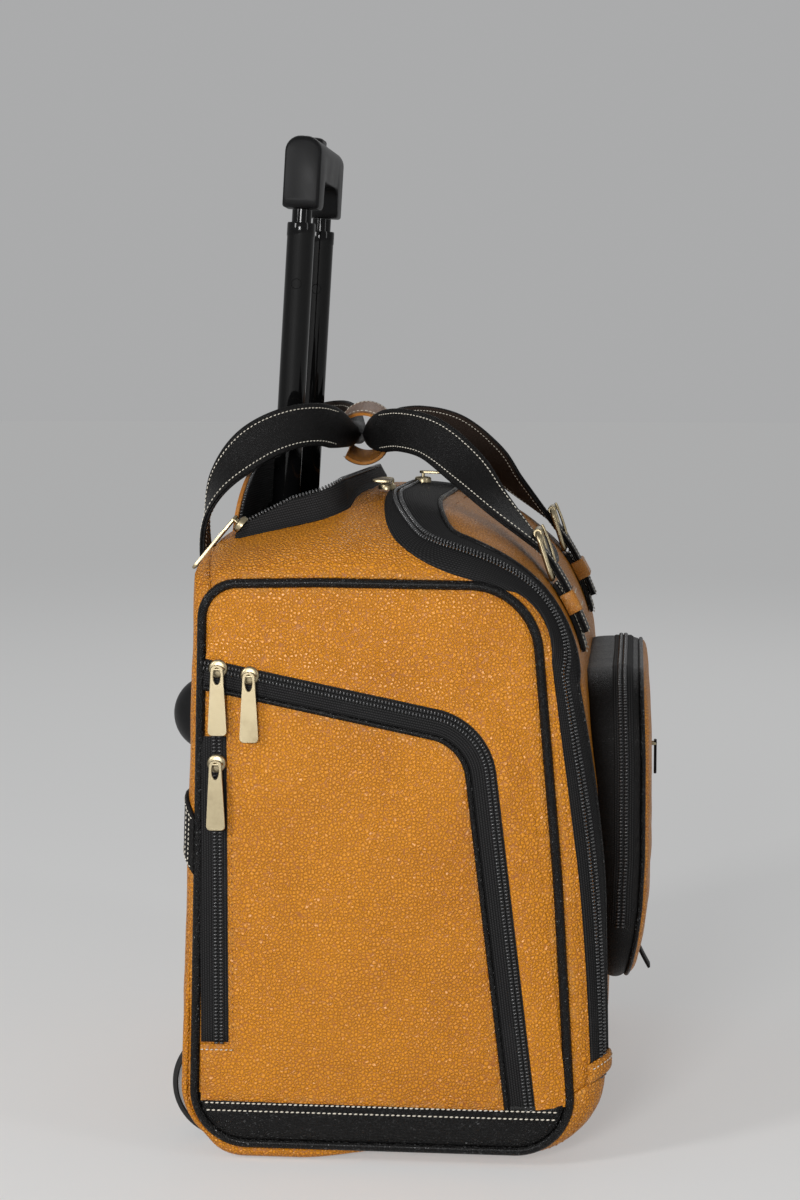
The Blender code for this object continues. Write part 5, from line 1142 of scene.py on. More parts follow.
sheet = flatSheet(flapOutline(slot["flapHalf"], slot["flapHeight"]), onFlap(flap["leatherBase"]),
                  **flap["leather"])
sheetPiece("slotFlapLeather", sheet, amberEdge, "case", "slot_flap")
tapeLine = flapOutline(slot["flapHalf"] - flap["tapeIn"], slot["flapHeight"] + flap["tapeUp"])
sheet = flatSheet(tapeLine, onFlap(flap["tapeBase"]), **flap["tape"])
sheetPiece("slotFlapTape", sheet, tape, "case", "slot_zip_rear", sizes=sheet[0][0][:, 1:])
edge = evenly(tapeLine[1:-1], slotRim["spacing"])
flapTeeth = onFlap(flap["toothBase"])(edge, np.zeros(len(edge)))
sewRow("slotTeeth", "case", [(rimTeeth, outward), (flapTeeth, flapAhead)], coilTooth, teethNylon)
holes = [(x, y, topHeight(x, y)) for x, y in evenly(slotLine(slotRim["holes"]), slotRim["spacing"])]
sewRow("slotStitches", "case", [(holes, upward)], holeStitch, threadAmber)
print("bands and trolley slot done")

# Trolley: three stages of gloss tube, moulded grip and its button
trolley = dict(foot=(-0.1262, 0.0450), lean=radians(3.5), y=0.055, outer=0.0115, outerLength=0.398,
               wall=0.0012, middle=0.0100, middleBore=0.0076, out=0.205, overlap=0.130, inner=0.0072,
               innerOut=0.010, innerOverlap=0.250, collar=0.012, proud=0.0018, topCollar=0.0003,
               pinHeight=0.5586, pin=0.0036, pinWire=0.00034, sunk=0.0001)
trolleyUp = np.array((sin(trolley["lean"]), 0.0, cos(trolley["lean"])))
trolleyAhead = np.array((cos(trolley["lean"]), 0.0, -sin(trolley["lean"])))
axisRadius = 0.0001  # where a closed turned profile meets its axis
middleTop = trolley["outerLength"] + trolley["out"]
gripFoot = middleTop + trolley["innerOut"]


def trolleyPoint(high, y, ahead=0.0):
    x, z = trolley["foot"]
    return np.array((x, y, z)) + trolleyUp * high + trolleyAhead * ahead


def outerTube():
    r, top, wide, wall = trolley["outer"], trolley["outerLength"], trolley["proud"], trolley["wall"]
    start = top - trolley["collar"]
    return [(r, wall), (r, start), (r + 0.0010, start + 0.0006), (r + wide, start + 0.0016),
            (r + wide, top - 0.0022), (r + 0.0012, top - 0.0006), (r + 0.0004, top), (r - wall, top),
            (r - wall, wall)]


def middleTube():
    r, wide, bore = trolley["middle"], trolley["middle"] + trolley["topCollar"], trolley["middleBore"]
    top, low = middleTop, trolley["outerLength"] - trolley["overlap"]
    return [(r, low), (r, top - 0.0100), (wide, top - 0.0094), (wide, top - 0.0012), (r, top), (bore, top),
            (bore, low)]


def innerTube():
    r, low, top = trolley["inner"], middleTop - trolley["innerOverlap"], gripFoot - 0.0004
    return [(axisRadius, low), (r, low), (r, top), (axisRadius, top)]


def stopPin(y):  # the small ring of the catch, on the outside of the middle tube
    reach, turn = trolley["middle"] - trolley["sunk"], np.linspace(0, 2 * pi, 32, endpoint=False)
    ring = [trolleyPoint(trolley["pinHeight"] + trolley["pin"] * sin(t), y - reach * cos(a), reach * sin(a))
            for t, a in zip(turn, trolley["pin"] * np.cos(turn) / trolley["middle"])]
    return cordOf(ring, (0, -1, 0), circleOf(trolley["pinWire"], 8), closed=True)


for word, way in bothSides:
    y = way * trolley["y"]
    foot = trolleyPoint(0, y)
    piece(word + "OuterTube", turnedOf(outerTube(), foot, trolleyUp, 40), tubeGloss, "case",
          "outer_tube_" + word)
    piece(word + "MiddleTube", join(turnedOf(middleTube(), foot, trolleyUp, 40), stopPin(y)), tubeGloss,
          "middle_stage", "middle_tube_" + word)
    piece(word + "InnerTube", turnedOf(innerTube(), foot, trolleyUp, 32), tubeGloss, "inner_stage",
          "inner_tube_" + word)

grip = dict(half=0.0685, height=0.030, depth=0.027, leg=0.022, top=0.42, shrink=0.028, foot=0.0022,
            button=0.030, buttonDepth=0.013, corner=0.0045, proud=0.0035, well=0.0096, gap=0.0004)
gripTop = grip["leg"] + grip["height"]
legInner = 2 * trolley["y"] - grip["half"]
# place across, underside and share of the full section
gripMarks = [(grip["half"], 0.0060, 0.86), (grip["half"] - 0.0006, 0.0034, 0.93),
             (grip["half"] - 0.0018, 0.0014, 0.975), (grip["half"] - 0.0040, 0.0002, 1.0),
             (legInner + 0.0040, 0.0, 1.0), (legInner + 0.0010, 0.0010, 1.0),
             (legInner - 0.0004, 0.0040, 1.0), (legInner - 0.0010, 0.0100, 1.0),
             (legInner - 0.0022, 0.0170, 1.0), (legInner - 0.0050, 0.0205, 1.0),
             (legInner - 0.0100, grip["leg"], 1.0), (0.020, grip["leg"], 1.0)]
buttonMarks = ((-0.0001, -0.0052), (-0.0001, grip["proud"] - 0.0016), (-0.0006, grip["proud"] - 0.0006),
               (-0.0018, grip["proud"]), (-0.0040, grip["proud"] + 0.0002))  # growth and height over the grip


def archOf(depth, low, high, steps=8):
    turn, half, radius, foot = np.linspace(0, pi / 2, steps), depth / 2, depth * grip["top"], grip["foot"]
    right = [(half - foot + foot * sin(t), low + foot - foot * cos(t)) for t in turn[::3]]
    right += [(half - radius + radius * cos(t), high - radius + radius * sin(t)) for t in turn]
    return withMirror(right)


def padRing(grow, up, steps=6):
    half, deep, corner = grip["button"] / 2 + grow, grip["buttonDepth"] / 2 + grow, grip["corner"]
    turn = np.linspace(0, pi / 2, steps)
    c, s = corner * np.cos(turn), corner * np.sin(turn)
    one = np.stack([half - corner + c, deep - corner + s], 1)
    two = np.stack([-half + corner - s, deep - corner + c], 1)
    outline = np.concatenate([one, two, -one, -two])
    return np.array([trolleyPoint(gripFoot + gripTop + up, y, ahead) for y, ahead in outline])


rings = []
for y, low, size in [(-y, low, size) for y, low, size in gripMarks] + gripMarks[::-1]:
    arch = archOf(grip["depth"] * size, low, gripTop - (1 - size) * grip["shrink"])
    rings.append([trolleyPoint(gripFoot + up, y, ahead) for ahead, up in arch])
gripPiece = piece("gripBody", loftOf(rings), satinBlack, "inner_stage", "trolley_grip", angle=50)
cutWith(gripPiece, prismOf(padRing(grip["gap"], -grip["well"]), trolleyUp * grip["height"]))
piece("gripButton", loftOf([padRing(grow, up) for grow, up in buttonMarks]), satinBlack, "release_button",
      "grip_button")
print("trolley done")


# Carry handles: flat straps of two layers, rolled where the wrap holds them
strap = dict(width=0.031, thick=0.0042, rollWidth=0.0170, rollDepth=0.0166, rollFrom=0.024, rollBlend=0.040,
             offset=0.0093, y=0.140, entry=0.030, lift=0.0012, baseThick=0.0030, stitchIn=0.0036,
             flatBelow=0.45, middle=(-0.045, -0.02, 0.415), sewnZ=(0.345, 0.385), sewnY=-0.120, steps=10)
rearMarks = (((-0.1500, -0.120, 0.412), (0.0, 1.0, 0.0)), ((-0.1490, -0.119, 0.437), (-0.15, 1.0, 0.1)),
             ((-0.1390, -0.115, 0.463), (-0.40, 0.75, 0.45)), ((-0.1180, -0.107, 0.486), (-0.42, 0.30, 0.80)),
             ((-0.0950, -0.096, 0.498), (-0.20, 0.12, 1.0)), ((-0.0750, -0.079, 0.501), (-0.10, 0.0, 1.0)),
             ((-0.0625, -0.055, 0.497), (0.0, 0.0, 1.0)))  # middle of the strap and the direction across it
frontMarks = (((0.0550, -0.134, 0.4510), (0.45, 0.80, 0.30)), ((0.0340, -0.119, 0.4730), (0.50, 0.45, 0.65)),
              ((0.0100, -0.101, 0.4910), (0.30, 0.20, 0.95)), ((-0.0140, -0.080, 0.4970), (0.10, 0.05, 1.0)),
              ((-0.0330, -0.055, 0.4950), (0.0, 0.0, 1.0)))
# turn on the lid's edge and lift
tailMarks = ((19.0, 0.0072), (28.0, 0.0072), (36.2, 0.0086), (44.0, 0.0098))
lidEdge = dict(corner=4.0, start=5.9, sweep=84.1)  # the lid's round top edge, in degrees
wrap = dict(middle=(-0.0490, 0.4930), length=0.038, wall=0.003, gap=0.0002, slit=radians(66),
            slitAt=radians(193), tilt=radians(12), steps=72, rowY=0.0152)


def lidFrame(turn, y, lift=0.0):  # on the lid's round front edge: point, out, down, across
    u = np.array([lidEdge["corner"] + 0.5 * (turn - lidEdge["start"]) / lidEdge["sweep"]])
    inward = np.minimum((body["half"] - abs(y)) / follow(roundingTable, u), 1.0)
    angle, way, du = np.arccos(1 - inward), (1 if y > 0 else -1), 0.012
    out = skinNormal(u, angle, way)[0]
    point = skin(u, angle, way)[0]
    point[1] = y
    down = (skin(u - du, angle, way) - skin(u + du, angle, way))[0] * (1, 0, 1)
    down = unit(down - out * (down @ out))
    return point + out * lift, out, down, np.cross(out, down)


def strapSection(roll):
    w, t = strap["width"] / 2, strap["thick"] / 2
    edge = [(w - 0.0030, -t), (w - 0.0009, -t + 0.0001), (w - 0.0001, -t + 0.0007), (w, -t * 0.45),
            (w - 0.0008, 0.0), (w, t * 0.45), (w - 0.0001, t - 0.0007), (w - 0.0009, t - 0.0001),
            (w - 0.0030, t)]
    flat = np.array([(0.0, -t)] + edge + [(0.0, t + 0.0003)] + [(-a, b) for a, b in edge[::-1]])
    turn = np.arctan2(flat[:, 1] / t, flat[:, 0] / w)
    rolled = np.stack([np.cos(turn) * strap["rollWidth"] / 2, np.sin(turn) * strap["rollDepth"] / 2], 1)
    return flat * (1 - roll) + rolled * roll


def backX(z):
    line = backGrid[:, backGrid.shape[1] // 2]
    order = np.argsort(line[:, 2])
    return np.interp(z, line[order, 2], line[order, 0])


def strapPiece(name, marks, bodyName, node, way):  # makes the strap and gives the lines of its stitches
    x, z = wrap["middle"][0] + way * strap["offset"], wrap["middle"][1]
    marks = marks + [((x, y, z), (0.0, 0.0, 1.0)) for y in (-strap["entry"], -strap["entry"] / 3, 0.0)]
    centres = smoothPath([point for point, across in marks], strap["steps"])
    wide = smoothPath([unit(np.array(across)) for point, across in marks], strap["steps"])
    run = unit(np.gradient(centres, axis=0))
    run[-1] = (0.0, 1.0, 0.0)
    wide = unit(wide - run * (wide * run).sum(1, keepdims=True))
    out = np.cross(run, wide)
    out = out * np.sign((out[:40] * (centres[:40] - strap["middle"])).sum())
    roll = strap["rollFrom"] + strap["rollBlend"] - np.abs(centres[:, 1])
    roll = np.clip(roll / strap["rollBlend"], 0, 1)
    sections = np.array([strapSection(share) for share in roll])
    half = centres[:, None] + wide[:, None] * sections[..., :1] + out[:, None] * sections[..., 1:]
    mesh = loftOf(np.concatenate([half, half[-2::-1] * flip]))
    spot = np.arange(sections.shape[1])
    inside = np.where((spot < 2) | (spot > len(spot) - 3), 1, 0)
    faceMaterial = np.concatenate([np.tile(inside, 2 * len(half) - 2), (0, 0)])
    piece(name, mesh, [blackLeather, brownInside], bodyName, node, faceMaterial=faceMaterial)
    flat = np.nonzero(roll < strap["flatBelow"])[0]
    lines = []
    for edge in (-1, 1):
        middle = centres[flat] + wide[flat] * edge * (strap["width"] / 2 - strap["stitchIn"])
        for facing, rise in ((out[flat], strap["thick"] / 2 + 0.0001), (-out[flat], strap["thick"] / 2)):
            line = middle + facing * rise
            lines += [(line, facing), (line * flip, facing * flip)]
    return lines


sewn = [((backX(z) - 0.0004 - strap["thick"] / 2, strap["sewnY"], z), (0.0, 1.0, 0.0))
        for z in strap["sewnZ"]]
rearLines = strapPiece("rearHandle", sewn + list(rearMarks), "case", "rear_handle", -1)
sewRow("rearHandleStitches", "case", rearLines, handStitch, thread)
tail = []
for turn, lift in tailMarks:
    point, out, down, across = lidFrame(turn, -strap["y"], lift)
    tail.append((point, across * np.sign(across[1])))
lidStitches = strapPiece("frontHandle", tail + list(frontMarks), "lid", "front_handle", 1)

# Leather wrap round both handles, with a slit at its rear; its near end hangs a little
wrapRadius = strap["offset"] + strap["rollDepth"] / 2 + wrap["gap"] + wrap["wall"]
turns = wrap["slitAt"] + wrap["slit"] / 2 + (2 * pi - wrap["slit"]) * np.linspace(0, 1, wrap["steps"])
radial = np.stack([np.cos(turns), turns * 0, np.sin(turns)], 1)
c, s = cos(wrap["tilt"]), sin(wrap["tilt"])
tip = np.array(((1.0, 0.0, 0.0), (0.0, c, -s), (0.0, s, c)))
wrapNormal = radial @ tip.T


def wrapLine(y):
    centre = np.array((wrap["middle"][0], 0.0, wrap["middle"][1]))
    return centre + (radial * wrapRadius + np.array((0, y, 0))) @ tip.T


wrapY = withFineEnds(wrap["length"], 0.004) - wrap["length"] / 2
grid = np.stack([wrapLine(y) for y in wrapY], 1)
sheet = sheetOf(grid, np.broadcast_to(wrapNormal[:, None], grid.shape), wrap["wall"], 0.0009, 0.0016,
                uneven=0.0002)
edgeOf = np.ones(len(sheet[0][1]), int)
edgeOf[:(len(turns) - 1) * (len(wrapY) - 1)] = 0
# The wrap's outside takes the brown painted shade; its inside and cut edges are amber
sheetPiece("handleWrap", sheet, [wrapShadeBrown, amberEdge], "lid", "handle_wrap", faceMaterial=edgeOf)
wrapRows = [(wrapLine(y), wrapNormal) for y in (-wrap["rowY"], wrap["rowY"])]

# Buckled strap bases: base, keeper, roller buckle with its prong
buckle = dict(turns=(14.0, 34.5), steps=26, keeperTurn=28.0, barTurn=36.2, barLift=0.0034, rise=0.0110,
              half=0.0186, length=0.0330, corner=0.0045, wire=0.0019, roller=0.0033, chamfer=0.0006,
              core=0.0005, keeperLength=0.015, keeperTop=0.0098, keeperGap=0.0008, keeperCorner=0.0030,
              keeperIn=0.0026, wall=0.0018, stitchIn=0.0034, stitchUp=0.0001, endRow=0.003, prong=0.0014,
              prongTip=0.72, spacing=0.0022)
strapHalf = strap["width"] / 2


def strapBase(word, y):
    places = [lidFrame(turn, y) for turn in np.linspace(*buckle["turns"], buckle["steps"])]
    offsets = withFineEnds(2 * strapHalf, 0.005) - strapHalf
    top, reach = strap["lift"] + strap["baseThick"], strapHalf - buckle["stitchIn"]
    grid = np.array([[p + across * a + out * top for a in offsets] for p, out, down, across in places])
    normal = np.array([[out for a in offsets] for p, out, down, across in places])
    sheet = sheetOf(grid, normal, strap["baseThick"], roll=0.0008, rollWidth=0.0016, uneven=0.0002)
    sheetPiece(word + "StrapBase", sheet, blackLeather, "lid", "strap_base_" + word)
    up = top + buckle["stitchUp"]
    lines = [(np.array([p + across * a + out * up for p, out, down, across in places]), normal[:, 0])
             for a in (-reach, reach)]
    p, out, down, across = places[1]
    row = np.linspace(-reach, reach, 20)[:, None]
    return lines + [(p + out * up + across * row - down * buckle["endRow"], out)]


def keeper(word, y):
    point, out, down, across = lidFrame(buckle["keeperTurn"], y)
    inner, corner = strapHalf + buckle["keeperGap"] + buckle["wall"], buckle["keeperCorner"]
    high, turn = buckle["keeperTop"] + buckle["wall"], np.linspace(0, pi / 2, 7)
    right = [(inner, strap["lift"]), (inner, 0.004)]
    right += [(inner - corner + corner * cos(t), high - corner + corner * sin(t)) for t in turn]
    loop = evenly(withMirror(right), buckle["spacing"])
    loopOut = outwardOf(unit(np.gradient(loop, axis=0)))
    line = point + across * loop[:, :1] + out * loop[:, 1:]
    facing = across * loopOut[:, :1] + out * loopOut[:, 1:]
    along = withFineEnds(buckle["keeperLength"], 0.003) - buckle["keeperLength"] / 2
    grid = line[:, None] + down * along[None, :, None]
    sheet = sheetOf(grid, np.broadcast_to(facing[:, None], grid.shape), buckle["wall"], 0.0006, 0.0012,
                    uneven=0.0001)
    sheetPiece(word + "Keeper", sheet, amberSmooth, "lid", "keeper_" + word)
    reach = buckle["keeperLength"] / 2 - buckle["keeperIn"]
    return [(line[6:-6] + down * c, facing[6:-6]) for c in (-reach, reach)]


def rollerBuckle(word, y):
    point, out, down, across = lidFrame(buckle["barTurn"], y, buckle["barLift"])
    up = unit(-down * buckle["length"] + out * buckle["rise"])
    face = unit(np.cross(across, up))
    face = face * np.sign(face @ out)
    half, high, r, turn = buckle["half"], buckle["length"], buckle["corner"], np.linspace(0, pi / 2, 6)
    corner = np.stack([half - r + r * np.sin(turn), r - r * np.cos(turn)], 1)
    right = np.concatenate([[(0.006, 0.0)], corner, (corner * (1, -1) + (0, high))[::-1], [(0.006, high)]])
    loop = evenly(withMirror(right), buckle["spacing"], closed=True)
    path = point + across * loop[:, :1] + up * loop[:, 1:]
    frameMesh = cordOf(path, face, circleOf(buckle["wire"], 12), closed=True)
    reach, wide = half - buckle["wire"] * 2.2, buckle["roller"]
    bevel, core = buckle["chamfer"], buckle["core"]
    end = point + up * high
    right = [(core, -reach), (wide - bevel, -reach), (wide, -reach + bevel)]
    roller = turnedOf(right + [(r, -a) for r, a in right[::-1]], end, across, 28)
    prongPath = smoothPath([point + face * 0.0012, point + up * 0.010 + face * 0.0044,
                            point + up * 0.022 + face * 0.0050, end + face * (wide + 0.0010) + up * 0.001,
                            end + face * (wide + 0.0004) + up * 0.0042], 6)
    taper = np.linspace(1.0, buckle["prongTip"], len(prongPath))[:, None, None]
    prong = cordOf(prongPath, face, circleOf(buckle["prong"], 10)[None] * taper)
    piece(word + "Buckle", join(frameMesh, roller, prong), brass, "lid", "buckle_" + word)


for word, way in bothSides:
    y = way * strap["y"]
    lidStitches += strapBase(word, y) + keeper(word, y)
    rollerBuckle(word, y)
sewRow("lidStrapStitches", "lid", lidStitches + wrapRows, handStitch, thread)
print("handles done")


# Front pocket on the lid: gusset, padded cover, zip round three sides and a tab at its foot
front = dict(half=0.150, low=0.108, high=0.346, corner=0.048, droop=0.012, droopEnds=0.012, droopFrom=0.20,
             wall=0.003, sunk=0.0006, belly=0.0016, bulge=0.0075, edgeShare=0.62, lift=0.0004,
             piping=0.0017, pipingOut=0.0016, pipingIn=0.0008, zipBack=0.012, zipHalf=0.0080, zipOut=0.0022,
             zipThick=0.0018, tooth=0.0018, toothOut=0.0026, zipFrom=0.9, zipMiddle=0.2, lidTop=0.42,
             spacing=0.004)
# height and place of its front: it runs out towards its foot
frontDepth = ((0.100, 0.1478), (0.108, 0.1490), (0.122, 0.1522), (0.140, 0.1556), (0.165, 0.1588),
              (0.200, 0.1604), (0.270, 0.1602), (0.346, 0.1576))


def pocketLoop(inset, steps=9):
    half, low, high = front["half"] - inset, front["low"] + inset, front["high"] - inset
    r, turn = front["corner"] - inset, np.linspace(0, pi / 2, steps)
    arc = np.stack([np.sin(turn), -np.cos(turn)], 1) * r
    loop = withMirror(np.concatenate([arc + (half - r, low + r), arc[::-1] * (1, -1) + (half - r, high - r)]))
    hang = smoothStep((loop[:, 1] - front["droopFrom"]) / (front["high"] - front["droopFrom"]))
    loop[:, 1] -= (front["droop"] + front["droopEnds"] * (loop[:, 0] / half) ** 2) * hang  # a soft top
    return evenly(loop, front["spacing"], closed=True)


lidLine = lidGrid[:, lidGrid.shape[1] // 2]
lidLine = lidLine[np.argsort(lidLine[:, 2])]
lidLine = lidLine[lidLine[:, 2] < front["lidTop"]]


def lidX(z):
    return np.interp(z, lidLine[:, 2], lidLine[:, 0])


def frontX(z):
    return np.interp(z, *np.array(frontDepth).T)


loop = evenly(pocketLoop(0.0), front["spacing"], closed=True)
loopOut = outwardOf(unit(ringRun(loop)))
depths = np.concatenate([[0.0, 0.02], np.linspace(0.08, 0.92, 10), [0.97, 0.99, 1.0]])
start, end = lidX(loop[:, 1]) - front["sunk"], frontX(loop[:, 1])
x = start[:, None] + (end - start)[:, None] * depths
# it bellies between its seams
yz = loop[:, None] + loopOut[:, None] * (front["belly"] * np.sin(pi * depths))[:, None]
rows = np.concatenate([x[..., None], yz], -1)
rows = np.concatenate([rows, rows[:1]])
outs = np.column_stack([np.zeros(len(loop)), loopOut])
outs = np.broadcast_to(np.concatenate([outs, outs[:1]])[:, None], rows.shape)
sheet = sheetOf(rows, outs, front["wall"], roll=0.0012, rollWidth=0.004, sides=(0, 0, 1, 1), uneven=0.0004)
sheetPiece("pocketGusset", sheet, [blackLeather, liningCloth], "lid", "pocket_gusset")
edgeDepth = front["bulge"] * front["edgeShare"]


def onFront(flat, rise):
    return np.column_stack([frontX(flat[:, 1]) + front["lift"] + edgeDepth + rise, flat])


sheet = flatSheet(pocketLoop(0.0), onFront, spacing=0.005, thick=edgeDepth, roll=0.0046, rollWidth=0.0070,
                  pillow=front["bulge"] - edgeDepth, uneven=0.0008)
sheetPiece("pocketCover", sheet, [amber, liningCloth], "front_pocket", "pocket_cover")
seam = evenly(pocketLoop(front["pipingIn"]), 0.003, closed=True)
path = np.column_stack([frontX(seam[:, 1]) + front["pipingOut"], seam])
piece("pocketCoverPiping", cordOf(path, (1, 0, 0), circleOf(front["piping"], 10), closed=True), blackPebble,
      "front_pocket")
keep = loop[:, 1] > front["low"] + front["corner"] * front["zipFrom"]
trip, tripOut = loop[keep], loopOut[keep]
order = np.argsort(np.unwrap(np.arctan2(trip[:, 1] - front["zipMiddle"], trip[:, 0])))
trip, tripOut = trip[order], tripOut[order]
tripX = frontX(trip[:, 1])
zipX = tripX - np.minimum(front["zipBack"], (tripX - lidX(trip[:, 1])) * 0.5)
zipOut = np.column_stack([np.zeros(len(trip)), tripOut])
rows = np.stack([np.column_stack([zipX + c, trip + tripOut * front["zipOut"]])
                 for c in np.linspace(-front["zipHalf"], front["zipHalf"], zips["columns"])], 1)
tapePiece("pocketTape", rows, np.broadcast_to(zipOut[:, None], rows.shape), lengthsOf(trip),
          front["zipThick"], "lid", "pocket_zip")
sewRow("pocketTeeth", "lid", [(np.column_stack([zipX + c, trip + tripOut * front["toothOut"]]), zipOut)
                              for c in (-front["tooth"], front["tooth"])], coilTooth, teethNylon)

pocketTab = dict(y=-0.080, top=0.128, out=0.0040, half=0.006, thick=0.0024, lift=0.0012,
                 facing=(1.0, 0.0, 0.5),
                 shape=((0.0, 0.0), (0.0030, -0.006), (0.0066, -0.013), (0.0105, -0.020)))
face = float(frontX(pocketTab["top"])) + pocketTab["out"]
grid = np.array([[(face + dx, pocketTab["y"] + a, pocketTab["top"] + dz)
                  for a in np.linspace(-pocketTab["half"], pocketTab["half"], 7)]
                 for dx, dz in smoothPath(pocketTab["shape"], 4)])
normal = np.broadcast_to(unit(np.array(pocketTab["facing"])), grid.shape)
sheet = sheetOf(grid + normal * pocketTab["lift"], normal, pocketTab["thick"], roll=0.0006,
                rollWidth=0.0012, uneven=0.0)
sheetPiece("pocketTab", sheet, blackLeather, "front_pocket", "pocket_tab")
print("front pocket done")


# Sliders and pulls: hinges and swing axes come from the frame's joints
metal = dict(disc=0.0064, discLow=-0.0079, discHigh=-0.0037, bail=0.0040, bailRise=0.0014, bailSink=0.0012,
             wire=0.0010, thick=0.0020, chamfer=0.0004, head=0.0030, corner=0.0026, hole=0.0024, count=72,
             middle=(-0.01, 0.0, 0.24))
plateSize = dict(length=0.0450, top=0.0043, foot=0.0064, holeAt=0.0044, holeHalf=0.0056)
smallPlate = dict(length=0.022, top=0.0036, foot=0.0044, holeAt=0.0044, holeHalf=0.00484)
pulls = (("side_pull_1", "case", None, brass, plateSize), ("side_pull_2", "case", None, brass, plateSize),
         ("slot_pull", "slot_slider", "slot_slider", brass, plateSize),
         ("trolley_pull", "case", None, brass, plateSize),
         ("main_pull_case", "case", None, brass, plateSize),
         ("main_pull_lid", "lid", None, brass, plateSize),
         ("pocket_pull", "front_pocket", None, blackLeather, smallPlate))


def pullOutline(size):  # (across, down): round head, widening to a foot with round corners
    turn, bend, corner = np.linspace(-pi / 2, pi / 2, 13), np.linspace(0, pi / 2, 6), metal["corner"]
    head = np.stack([np.sin(turn) * size["top"], -np.cos(turn) * metal["head"]], 1)
    low = np.stack([size["foot"] - corner + corner * np.cos(bend),
                    size["length"] - corner + corner * np.sin(bend)], 1)
    return np.concatenate([head, low, (low * (-1, 1))[::-1]])


def pullMesh(hinge, across, down, out, size):  # a bevelled plate with an oval hole
    half, bevel, count = metal["thick"] / 2, metal["chamfer"], metal["count"]
    plain = evenly(pullOutline(size), 0.0001, closed=True)
    plain = plain[np.linspace(0, len(plain), count, endpoint=False).astype(int)]
    centre = np.array((0.0, size["holeAt"]))
    turn = np.arctan2(plain[:, 1] - centre[1], plain[:, 0])
    order = np.argsort(turn)
    plain, turn = plain[order], turn[order]
    hole = np.stack([np.cos(turn) * metal["hole"], np.sin(turn) * size["holeHalf"]], 1) + centre
    inset = unit(hole - plain) * bevel
    low, high = -half + bevel, half - bevel
    lines = ((plain, low), (plain, high), (plain + inset, half), (hole - inset, half),
             (hole, high), (hole, low), (hole - inset, -half), (plain + inset, -half))
    rings = np.array([hinge + across * line[:, :1] + down * line[:, 1:] + out * rise for line, rise in lines])
    return rings.reshape(-1, 3), gridFaces(len(rings), count, True, True).tolist()


def sliderMesh(hinge, across, out, down):
    r, low, high, b = metal["disc"], metal["discLow"], metal["discHigh"], metal["bail"]
    profile = [(axisRadius, low), (r, low), (r, high - 0.0012), (r - 0.0005, high - 0.0004),
               (r - 0.0014, high), (r - 0.0030, high + 0.0003), (axisRadius, high + 0.0004)]
    arch = [hinge + across * b * cos(t) + out * (metal["bailRise"] * sin(t) ** 0.5 - metal["bailSink"])
            for t in np.linspace(0, pi, 15)]
    arch = [hinge + across * b + out * high] + arch + [hinge - across * b + out * high]
    return join(turnedOf(profile, hinge, out, 32), cordOf(arch, down, circleOf(metal["wire"], 10)))


for name, holder, node, material, size in pulls:
    joint = jointAt[name + "_swing"]
    hinge, across = np.array(joint["pos_m"]) - shift, unit(np.array(joint["axis"], float))
    low, high = (np.array(corner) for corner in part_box(name))
    down = (low + high) / 2 - shift - hinge
    down = unit(down - across * (down @ across))
    out = np.cross(across, down)
    out = out * np.sign(out @ (hinge - np.array(metal["middle"])))
    plain = name.replace("_", "")
    piece(plain + "Plate", pullMesh(hinge, across, down, out, size), material, name, name)
    piece(plain + "Slider", sliderMesh(hinge, across, out, down), brass, holder, node)
print("sliders and pulls done")

# Oval patch on the lid, left bare
patch = dict(u=4.215, step=0.01, along=0.0165, across=0.050, thick=0.0038, stitchIn=0.0036, stitchUp=0.0004,
             sheet=dict(spacing=0.004, thick=0.0044, roll=0.0010, rollWidth=0.0022, pillow=0.0004,
                        uneven=0.0001))
before, after = skin(patch["u"] + np.array((-1, 1)) * patch["step"], np.full(2, pi / 2))
speed = np.linalg.norm(after - before) / (2 * patch["step"])  # metres along the lid for each unit of u


def ovalOf(count, inset=0.0):
    return circleOf(1.0, count) * (patch["across"] - inset, patch["along"] - inset)


def onLid(flat, rise):
    u, top = patch["u"] + flat[:, 1] / speed, np.full(len(flat), pi / 2)
    points = skin(u, top)
    points[:, 1] = flat[:, 0]
    return points + skinNormal(u, top) * (shell["lift"] + patch["thick"] + rise)[:, None]


sheetPiece("ovalPatch", flatSheet(ovalOf(64), onLid, **patch["sheet"]), blackLeather, "lid")
ring = ovalOf(90, patch["stitchIn"])
ring = np.concatenate([ring, ring[:1]])
level = np.zeros(len(ring))
sewRow("patchStitches", "lid", [(onLid(ring, level + patch["stitchUp"]),
                                 onLid(ring, level + 1) - onLid(ring, level))], machineStitch, teethNylon)

# Back: sewn band, dome bumpers, wheels, axles and feet
rear = dict(bandZ=0.232, bandHeight=0.042, bandThick=0.0025, bandLift=0.0030, bandIn=0.0012, bumper=0.0266,
            bumperHeight=0.018, bumperZ=0.302, bumperLift=0.0004, skirt=0.0012, footX=0.080, foot=0.013,
            stitchUp=0.0003, seamUp=0.0001, leanLow=0.12, leanHigh=0.36)
backLean = atan2(backX(rear["leanHigh"]) - backX(rear["leanLow"]), rear["leanHigh"] - rear["leanLow"])
backOut = np.array((-cos(backLean), 0.0, sin(backLean)))
bandZs = withFineEnds(rear["bandHeight"], 0.006) - rear["bandHeight"] / 2 + rear["bandZ"]
backU = np.linspace(seamBack, backFoot, 400)
backZ = skin(backU, np.full(len(backU), pi / 2))[:, 2]
grid, normal = skinGrid(np.interp(-bandZs, -backZ, backU), lambda u: edgeReach(u) + rear["bandIn"],
                        lift=rear["bandLift"])
sheet = sheetOf(grid, normal, rear["bandThick"], roll=0.0010, rollWidth=0.0024, uneven=0.0003)
sheetPiece("backBand", sheet, blackLeather, "case", "rear_band")
raised = grid + normal * rear["stitchUp"]
lines = [(raised[k, 3:-3], normal[k, 3:-3]) for k in (3, -4)]
lines += [(raised[3:-3, k], normal[3:-3, k]) for k in (4, 5, -6, -5)]
